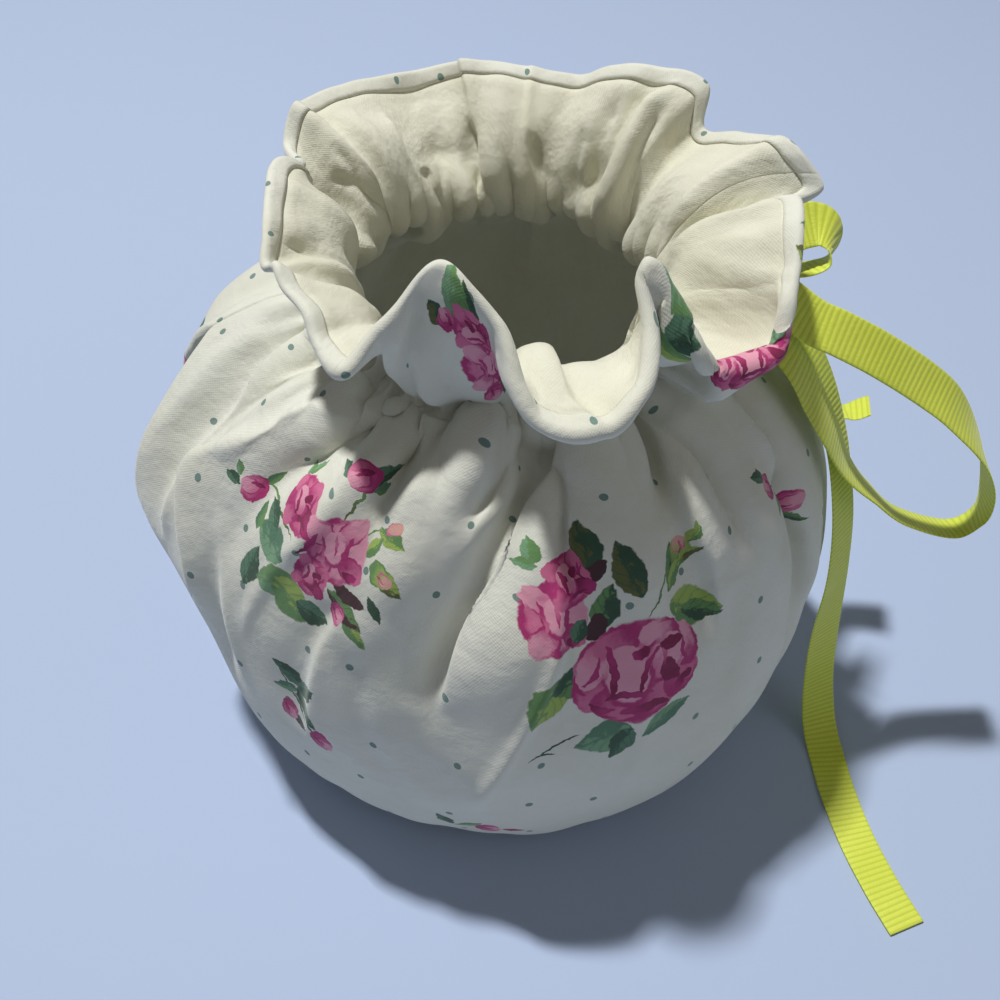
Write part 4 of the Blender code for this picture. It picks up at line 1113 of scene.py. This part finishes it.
def add_ribbon(name, table):
    """A ribbed strip with a plain edge down each side and straight cut ends."""
    line, length = even_path(table)
    middle, across = line[:, :3], line[:, 3:]
    middle[:, 2] = np.maximum(middle[:, 2], RIBBON_THICK / 2 + RIB_HEIGHT)
    along = unit(np.gradient(middle, axis=0))
    across = unit(across - along * np.sum(across * along, axis=1, keepdims=True))
    face = np.cross(along, across)
    ribs = 0.5 + 0.5 * np.cos(length / RIB_PITCH * 2 * math.pi)
    section = [(wide, sense) for sense in (1.0, -1.0) for wide in sense * np.array(RIBBON_SECTION)]
    points = []
    for wide, sense in section:
        in_from_edge = RIBBON_WIDE / 2 - abs(wide)
        tip = 1.0 if in_from_edge else RIBBON_TIP
        inside = soft_step((in_from_edge - SELVEDGE) / SELVEDGE_FADE)
        lift = sense * (RIBBON_THICK / 2 * tip + RIB_HEIGHT * ribs * inside)
        cup = RIBBON_CUP * (wide / RIBBON_WIDE * 2) ** 2
        points.append(middle + across * wide + face * (lift + cup)[:, None])
    points = np.stack(points + points[:1], axis=1)
    count = points.shape[1] - 1
    faces = grid_faces(points.shape[:2])
    faces[:, :] = faces // (count + 1) * count + faces % (count + 1) % count
    piece = add_piece(name, points[:, :-1], faces)
    ends = bmesh.new()
    ends.from_mesh(piece.data)
    ends.verts.ensure_lookup_table()
    ends.faces.new([ends.verts[k] for k in range(count)])
    ends.faces.new([ends.verts[len(ends.verts) - count + k] for k in reversed(range(count))])
    bmesh.ops.recalc_face_normals(ends, faces=ends.faces)
    ends.to_mesh(piece.data)
    ends.free()
    across_mm = np.broadcast_to([wide for wide, _ in section], (len(length), count))
    add_map(piece, CLOTH_MAP, np.stack([across_mm, np.broadcast_to(length[:, None], across_mm.shape)], axis=-1))
    return piece, length[-1]


def knot_point(around, along):
    """Gathered ribbon either side of the knot's waist: around the band's axis, and along it from -1 to 1."""
    pleats = 1.0 + KNOT_PLEAT * np.cos(KNOT_PLEATS * around + 2.0 * along) * soft_step(1.6 * np.abs(along))
    waist = 1.0 - KNOT_WAIST * hump(along / KNOT_WAIST_SPAN)
    size = np.sqrt(np.clip(1.0 - along**4, 0.0, 1.0)) * waist * pleats
    x = KNOT_SIZE[0] / 2 * size * np.cos(around)
    z = KNOT_SIZE[2] / 2 * size * np.sin(around)
    return np.stack([x, KNOT_SIZE[1] / 2 * along + 0.0 * x, z], axis=-1) + np.array(KNOT_AT)


def add_knot(name):
    """The knot: ribbon gathered at both sides of a band that is wrapped round its waist."""
    around = np.linspace(0.0, 2 * math.pi, KNOT_ROUND + 1)[None, :]
    along = np.sin(np.linspace(-math.pi / 2, math.pi / 2, KNOT_ROWS))[:, None]
    lumps = knot_point(around, along)
    count = lumps.shape[1]
    faces = [grid_faces(lumps.shape[:2], True)]
    ring = []
    for wide, lift in KNOT_BAND:
        at = wide / (KNOT_SIZE[1] / 2) + KNOT_LEAN * np.sin(around)
        inner = knot_point(around, np.zeros_like(around) + at)
        out = unit((inner - np.array(KNOT_AT)) * np.array([1.0, 0.0, 1.0]))
        ribs = RIB_HEIGHT * (0.5 + 0.5 * np.cos(around * KNOT_RIBS))[..., None] * (lift > KNOT_TOP)
        ring.append(inner + out * (lift + ribs))
    ring = np.concatenate(ring + ring[:1])
    start = lumps.shape[0] * count
    faces.append(grid_faces(ring.shape[:2], True) + start)
    points = np.concatenate([lumps.reshape(-1, 3), ring.reshape(-1, 3)])
    piece = add_piece(name, points, np.concatenate(faces))
    half_round = KNOT_SIZE[0] / 2 + 0.0 * along
    lump_map = np.stack([half_round * around, KNOT_SIZE[1] / 2 * along + 0.0 * around], axis=-1)
    ring_map = np.stack([np.stack([wide + 0.0 * around[0], KNOT_SIZE[0] / 2 * around[0]], axis=-1)
                         for wide, _ in KNOT_BAND + KNOT_BAND[:1]])
    add_map(piece, CLOTH_MAP, np.concatenate([lump_map.reshape(-1, 2), ring_map.reshape(-1, 2)]))
    mend = bmesh.new()
    mend.from_mesh(piece.data)
    bmesh.ops.remove_doubles(mend, verts=mend.verts, dist=1e-6)
    mend.to_mesh(piece.data)
    mend.free()
    return piece


# ---------------------------------------------------------------- materials

class Tree:
    """A few short ways to add nodes to a material or a node group."""

    def __init__(self, tree):
        self.tree = tree

    def give(self, socket, value):
        if isinstance(value, bpy.types.NodeSocket):
            self.tree.links.new(value, socket)
        else:
            socket.default_value = value

    def node(self, kind, inputs=(), **settings):
        """A node whose inputs are numbers, vectors, colours or other nodes' outputs, by name or by place."""
        node = self.tree.nodes.new(kind)
        for key, value in settings.items():
            setattr(node, key, value)
        for key, value in dict(inputs).items():
            self.give(node.inputs[key], value)
        return node

    def math(self, operation, *values):
        return self.node("ShaderNodeMath", enumerate(values), operation=operation).outputs[0]

    def ramp(self, value, low, high, to_low=0.0, to_high=1.0, kind="SMOOTHSTEP"):
        inputs = {"Value": value, "From Min": low, "From Max": high, "To Min": to_low, "To Max": to_high}
        return self.node("ShaderNodeMapRange", inputs, interpolation_type=kind).outputs[0]

    def mix(self, share, first, second):
        node = self.node("ShaderNodeMix", data_type="RGBA")
        for key, value in (("Factor", share), ("A", first), ("B", second)):
            self.give([socket for socket in node.inputs if socket.name == key and socket.enabled][0], value)
        return [socket for socket in node.outputs if socket.enabled][0]


def colour(name):
    return (*INK[name], 1.0)


def new_group(name, inputs):
    """A node group that paints one shape over a colour. Every shape is placed in its own box, from -1 to 1."""
    group = bpy.data.node_groups.new(name, "ShaderNodeTree")
    for label, kind in inputs:
        group.interface.new_socket(label, in_out="INPUT", socket_type="NodeSocket" + kind)
    group.interface.new_socket("Color", in_out="OUTPUT", socket_type="NodeSocketColor")
    tree = Tree(group)
    given = group.nodes.new("NodeGroupInput").outputs
    place = tree.node("ShaderNodeMapping", {"Vector": given["Place"], "Location": given["At"],
                                            "Rotation": given["Turn"], "Scale": given["Size"]}, vector_type="TEXTURE")
    axes = tree.node("ShaderNodeSeparateXYZ", {0: place.outputs[0]}).outputs
    bow = tree.math("SUBTRACT", 1.0, tree.math("MULTIPLY", axes[0], axes[0]))
    y = tree.math("MULTIPLY_ADD", bow, given["Bend"], axes[1])
    return group, tree, given, axes[0], y


SHAPE_INPUTS = [("Base", "Color"), ("Place", "Vector"), ("Ink", "Float"), ("At", "Vector"), ("Turn", "Vector"),
                ("Size", "Vector"), ("Bend", "Float"), ("Light", "Color"), ("Dark", "Color"), ("Line", "Color")]


def finish_group(group, tree, given, mask, paint):
    result = tree.mix(mask, given["Base"], paint)
    tree.node("NodeGroupOutput", {"Color": result})
    return group


def leaf_group():
    """A pointed leaf, light on one side of its rib and dark on the other, with side veins."""
    group, tree, given, x, y = new_group("leaf", SHAPE_INPUTS)
    wide = tree.math("SUBTRACT", 1.0, tree.math("MULTIPLY", x, x))
    wide = tree.math("MULTIPLY", wide, tree.math("MAXIMUM", tree.math("MULTIPLY_ADD", x, -0.28, 1.0), 0.3))
    off = tree.math("ABSOLUTE", y)
    mask = tree.ramp(tree.math("SUBTRACT", wide, off), -0.03, 0.10)
    half = tree.ramp(tree.math("MULTIPLY_ADD", given["Ink"], 2.6, y), 1.10, 1.42)
    paint = tree.mix(half, given["Dark"], given["Light"])
    vein = tree.math("FRACT", tree.math("MULTIPLY_ADD", off, -1.3, tree.math("MULTIPLY", x, 2.3)))
    vein = tree.ramp(tree.math("ABSOLUTE", tree.math("SUBTRACT", vein, 0.5)), 0.0, 0.14, 0.55, 0.0)
    rib = tree.ramp(off, 0.03, 0.13, 0.85, 0.0)
    paint = tree.mix(tree.math("MAXIMUM", tree.math("MULTIPLY", vein, half), rib), paint, given["Dark"])
    edge = tree.ramp(tree.math("SUBTRACT", wide, off), 0.02, 0.17, 0.35, 0.0)
    paint = tree.mix(edge, paint, given["Dark"])
    return finish_group(group, tree, given, mask, paint)


def petal_group():
    """A round petal, light at its lip and dark at its foot, with a brushed line round the foot."""
    group, tree, given, x, y = new_group("petal", SHAPE_INPUTS)
    far = tree.math("SQRT", tree.math("ADD", tree.math("MULTIPLY", x, x), tree.math("MULTIPLY", y, y)))
    mask = tree.ramp(far, 0.93, 1.0, 1.0, 0.0)
    lip = tree.math("MULTIPLY_ADD", tree.math("SUBTRACT", given["Ink"], 0.5), 1.5, x)
    paint = tree.mix(tree.ramp(lip, -0.75, 0.35), given["Dark"], given["Light"])
    rim = tree.math("MULTIPLY", tree.ramp(far, 0.72, 0.84), tree.ramp(lip, -0.1, 0.75, 1.0, 0.0))
    return finish_group(group, tree, given, mask, tree.mix(rim, paint, given["Line"]))


def cotton_ground(tree, base, pitch):
    """The cloth's flat place in mm, its colour with the slight unevenness of dyed thread, and its bump."""
    place = tree.node("ShaderNodeUVMap", uv_map=CLOTH_MAP).outputs[0]
    slow = tree.node("ShaderNodeTexNoise", {"Vector": place, "Scale": 0.035, "Detail": 3.0}).outputs[0]
    tint = tree.mix(tree.ramp(slow, 0.35, 0.7), colour(base + " light"), colour(base + " deep"))
    axes = tree.node("ShaderNodeSeparateXYZ", {0: place}).outputs
    warp = tree.math("SINE", tree.math("MULTIPLY", axes[0], 2 * math.pi / pitch))
    weft = tree.math("SINE", tree.math("MULTIPLY", axes[1], 2 * math.pi / pitch))
    weave = tree.math("MULTIPLY", warp, weft)
    crumple = tree.node("ShaderNodeTexNoise", {"Vector": place, "Scale": 0.22, "Detail": 5.0, "Roughness": 0.55})
    height = tree.math("MULTIPLY_ADD", crumple.outputs[0], 0.85, tree.math("MULTIPLY", weave, 0.03))
    return place, tint, weave, height


def new_material(name):
    material = bpy.data.materials.new(name)
    material.use_nodes = True
    material.node_tree.nodes.clear()
    return material, Tree(material.node_tree)


def finish_material(tree, bump=None, **inputs):
    """The shader and the material's output. Underscores stand for the spaces in a socket's name."""
    inputs = {name.replace("_", " "): value for name, value in inputs.items()}
    if bump:
        inputs["Normal"] = tree.node("ShaderNodeBump", bump).outputs[0]
    shader = tree.node("ShaderNodeBsdfPrincipled", inputs)
    tree.node("ShaderNodeOutputMaterial", {"Surface": shader.outputs[0]})


def finish_cotton(tree, paint, weave, height, bump):
    """The cotton's shader, its colour a little darker where the weave's bump is low: painted shade between the
    threads.
    """
    # Painted shade: darker in the hollows of the weave's bump.
    paint = tree.mix(tree.ramp(weave, -1.0, 1.0, 0.10, 0.0, "LINEAR"), paint, (0.25, 0.23, 0.18, 1.0))
    finish_material(tree, {"Strength": bump, "Distance": 0.0012, "Height": height}, Base_Color=paint, Roughness=0.86,
                    Sheen_Weight=0.22, Sheen_Roughness=0.45, Specular_IOR_Level=0.25)


def dots(tree, place, paint):
    """Small green dots, staggered and a little uneven."""
    cells = tree.node("ShaderNodeTexVoronoi", {"Vector": place, "Scale": 1.0 / DOT_APART, "Randomness": 0.42},
                      voronoi_dimensions="2D")
    shape = tree.ramp(cells.outputs["Distance"], DOT_RADIUS / DOT_APART * 0.88, DOT_RADIUS / DOT_APART, 1.0, 0.0)
    return tree.mix(shape, paint, colour("dot"))


def rose_shapes(recipe, x, y, long, wide, turned):
    """The petals of one rose, from a recipe in the rose's own box."""
    angle = math.radians(turned)
    found = []
    for px, py, plong, pwide, pturn, bend, light, dark in recipe:
        dx, dy = px * long / 2, py * wide / 2
        at = (x + dx * math.cos(angle) - dy * math.sin(angle), y + dx * math.sin(angle) + dy * math.cos(angle))
        mean = (long + wide) / 4
        found.append(("petal", *at, plong * mean, pwide * mean, pturn + turned, bend, light, dark))
    return found


def cluster_shapes(cluster):
    """A cluster's shapes at their places on the flat cloth."""
    found = []
    for item in cluster["shapes"]:
        found += rose_shapes(ROSES[item[0]], *item[1:6]) if item[0] in ROSES else [item]
    u, v = cluster["deg"] * MM_PER_DEG, cluster["run"]
    return [(kind, x + u, y + v, *rest) for kind, x, y, *rest in found]


def shape_box(shape):
    """The flat box round a shape, with room for its uneven edge and for faces that lie half in it."""
    _, x, y, long, wide, turned, bend, *_ = shape
    angle, tall = math.radians(turned), wide * (1.0 + abs(bend))
    half_u = math.hypot(long * math.cos(angle), tall * math.sin(angle)) / 2 + HAND
    half_v = math.hypot(long * math.sin(angle), tall * math.cos(angle)) / 2 + HAND
    return x - half_u, y - half_v, x + half_u, y + half_v


def print_cells(cluster):
    """Boxes that share out a cluster's part of the cloth, each with the shapes that reach it."""
    shapes = cluster_shapes(cluster)
    boxes = np.array([shape_box(shape) for shape in shapes])
    low, high = boxes[:, :2].min(axis=0), boxes[:, 2:].max(axis=0)
    count = np.maximum(np.round((high - low) / CELL), 1).astype(int)
    step = (high - low) / count
    for i in range(count[0]):
        for j in range(count[1]):
            start = low + step * (i, j)
            end = start + step
            meets = (boxes[:, :2] < end).all(axis=1) & (boxes[:, 2:] > start).all(axis=1)
            if meets.any():
                yield (*start, *end), [shape for shape, met in zip(shapes, meets) if met]


def printed_material(name, shapes=()):
    """Printed cotton, with the shapes of a cluster that reach the faces it is for."""
    material, tree = new_material(name)
    place, paint, weave, height = cotton_ground(tree, "print", PRINT_WEAVE)
    paint = dots(tree, place, paint)
    if shapes:
        wobble = tree.node("ShaderNodeTexNoise", {"Vector": place, "Scale": HAND_SCALE, "Detail": 3.0})
        shifted = tree.node("ShaderNodeVectorMath", {0: wobble.outputs["Color"], 1: (0.5, 0.5, 0.5)},
                            operation="SUBTRACT").outputs[0]
        hand = tree.node("ShaderNodeVectorMath", {0: shifted, 1: (HAND, HAND, 0.0), 2: place},
                         operation="MULTIPLY_ADD").outputs[0]
        ink = tree.node("ShaderNodeTexNoise", {"Vector": hand, "Scale": 0.4, "Detail": 4.0,
                                               "Roughness": 0.65}).outputs[0]
    for kind, x, y, long, wide, turned, bend, light, dark in shapes:
        node = tree.node("ShaderNodeGroup", node_tree=SHAPE_GROUPS[kind])
        # A trace of the colour so far makes the shapes come in turn, or a long chain needs too much memory.
        traced = tree.node("ShaderNodeVectorMath", {0: paint, 1: (TRACE, TRACE, 0.0), 2: hand},
                           operation="MULTIPLY_ADD").outputs[0]
        values = {"Base": paint, "Place": traced, "Ink": ink, "At": (x, y, 0.0),
                  "Turn": (0.0, 0.0, math.radians(turned)), "Size": (long / 2, wide / 2, 1.0), "Bend": bend,
                  "Light": colour(light), "Dark": colour(dark), "Line": colour(LINES.get(light, dark))}
        for key, value in values.items():
            tree.give(node.inputs[key], value)
        paint = node.outputs[0]
    finish_cotton(tree, paint, weave, height, 0.5)
    return material


def lining_material():
    material, tree = new_material("cream_lining")
    _, paint, weave, height = cotton_ground(tree, "lining", LINING_WEAVE)
    finish_cotton(tree, paint, weave, height, 0.6)
    return material


def ribbon_material():
    """Grosgrain: thread lines across the ribs, painted shade between the ribs, a smooth selvedge and a soft gloss."""
    material, tree = new_material("grosgrain_ribbon")
    place = tree.node("ShaderNodeUVMap", uv_map=CLOTH_MAP).outputs[0]
    axes = tree.node("ShaderNodeSeparateXYZ", {0: place}).outputs
    rib = tree.math("COSINE", tree.math("MULTIPLY", axes[1], 2 * math.pi / RIB_PITCH))
    stretched = tree.node("ShaderNodeVectorMath", {0: place, 1: (5.0, 0.5, 1.0)}, operation="MULTIPLY").outputs[0]
    thread = tree.node("ShaderNodeTexNoise", {"Vector": stretched, "Scale": 1.0, "Detail": 2.0}).outputs[0]
    slow = tree.node("ShaderNodeTexNoise", {"Vector": place, "Scale": 0.05, "Detail": 2.0}).outputs[0]
    paint = tree.mix(tree.ramp(slow, 0.3, 0.7), colour("ribbon light"), colour("ribbon"))
    # Painted shade: the colour darkens in the valleys between the ribs.
    paint = tree.mix(tree.ramp(rib, -1.0, 0.2, 0.55, 0.0), paint, colour("ribbon deep"))
    paint = tree.mix(tree.ramp(thread, 0.35, 0.75, 0.0, 0.22), paint, colour("ribbon deep"))
    finish_material(tree, {"Strength": 0.35, "Distance": 0.0004, "Height": thread}, Base_Color=paint, Roughness=0.55,
                    Sheen_Weight=0.35, Sheen_Roughness=0.35, Specular_IOR_Level=0.35)
    return material


def dress(piece, node, materials):
    """Fixes a piece to the body in place of a node of the solids and its materials."""
    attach(piece, "root")
    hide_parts(node)
    for material in materials:
        piece.data.materials.append(material)


def paint_print(piece, boxes, left_out):
    """Gives each face the material of the cluster that it lies in, apart from the clusters left out."""
    layer = piece.data.uv_layers[CLOTH_MAP]
    places = np.empty(len(piece.data.loops) * 2, dtype=np.float32)
    layer.uv.foreach_get("vector", places)
    centre = places.reshape(-1, 4, 2).mean(axis=1)
    places_in_list = np.zeros(len(centre), dtype=np.int32)
    for index, (name, box) in enumerate(boxes, start=1):
        if name not in left_out:
            inside = (centre > box[:2]).all(axis=1) & (centre < box[2:]).all(axis=1)
            places_in_list[inside] = index
    piece.data.polygons.foreach_set("material_index", places_in_list)


SHAPE_GROUPS = {"leaf": leaf_group(), "petal": petal_group()}


# ---------------------------------------------------------------- pieces

run = spread_rows()
path, band_row = print_path(run)
boxes, print_materials = [], [printed_material("printed_cotton")]
for name, cluster in CLUSTERS.items():
    for box, shapes in print_cells(cluster):
        boxes.append((name, box))
        print_materials.append(printed_material("printed_" + name, shapes))
lining_cotton = lining_material()
grosgrain = ribbon_material()
for side in ("front", "back"):
    printed = add_sheet("printed_" + side, side, path, run, False)
    dress(printed, "cover_" + side, print_materials)
    paint_print(printed, boxes, RIM_CLUSTERS if side == "back" else ())
    plain = add_sheet("plain_" + side, side, lining_path(run, band_row), run, True)
    dress(plain, "lining_" + side, [lining_cotton])

for name, table in RIBBONS.items():
    strip, length = add_ribbon("tie_" + name, table)
    dress(strip, "ribbon_" + name, [grosgrain])
dress(add_knot("tie_knot"), "ribbon_knot", [grosgrain])

# ---------------------------------------------------------------- stage

floor_mesh = bpy.data.meshes.new("floor")
floor_mesh.from_pydata([(-3, -3, 0), (3, -3, 0), (3, 3, 0), (-3, 3, 0)], [], [(0, 1, 2, 3)])
floor = new_object("floor", floor_mesh)
floor.location.z = -FLOOR_GAP
floor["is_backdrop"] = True
ground, ground_tree = new_material("floor")
finish_material(ground_tree, Base_Color=FLOOR_COLOUR, Roughness=0.8, Specular_IOR_Level=0.2)
floor_mesh.materials.append(ground)

for name, (place, aim, watts, size) in LIGHTS.items():
    lamp = bpy.data.lights.new(name, "AREA")
    lamp.energy, lamp.size = watts, size
    light = new_object(name, lamp)
    light.location = place
    light.rotation_euler = (mathutils.Vector(aim) - mathutils.Vector(place)).to_track_quat("-Z", "Y").to_euler()

bpy.context.scene.view_settings.view_transform = "Standard"
world = bpy.data.worlds.new("studio")
bpy.context.scene.world = world
world.use_nodes = True
world.node_tree.nodes["Background"].inputs["Color"].default_value = WORLD_COLOUR
world.node_tree.nodes["Background"].inputs["Strength"].default_value = WORLD_STRENGTH

lens = bpy.data.cameras.new("camera")
lens.lens, lens.sensor_width, lens.shift_x = LENS_MM, SENSOR_MM, LENS_SHIFT
camera = new_object("camera", lens)
camera.location = mathutils.Vector(NECK_AXIS) * MM + mathutils.Vector(CAMERA_FROM_AXIS)
camera.rotation_euler = (math.radians(CAMERA_TILT), 0.0, 0.0)
bpy.context.scene.camera = camera

boxes = {"cad": cad_box, "visual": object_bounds()}
{name: [list(corner) for corner in box] for name, box in boxes.items()}
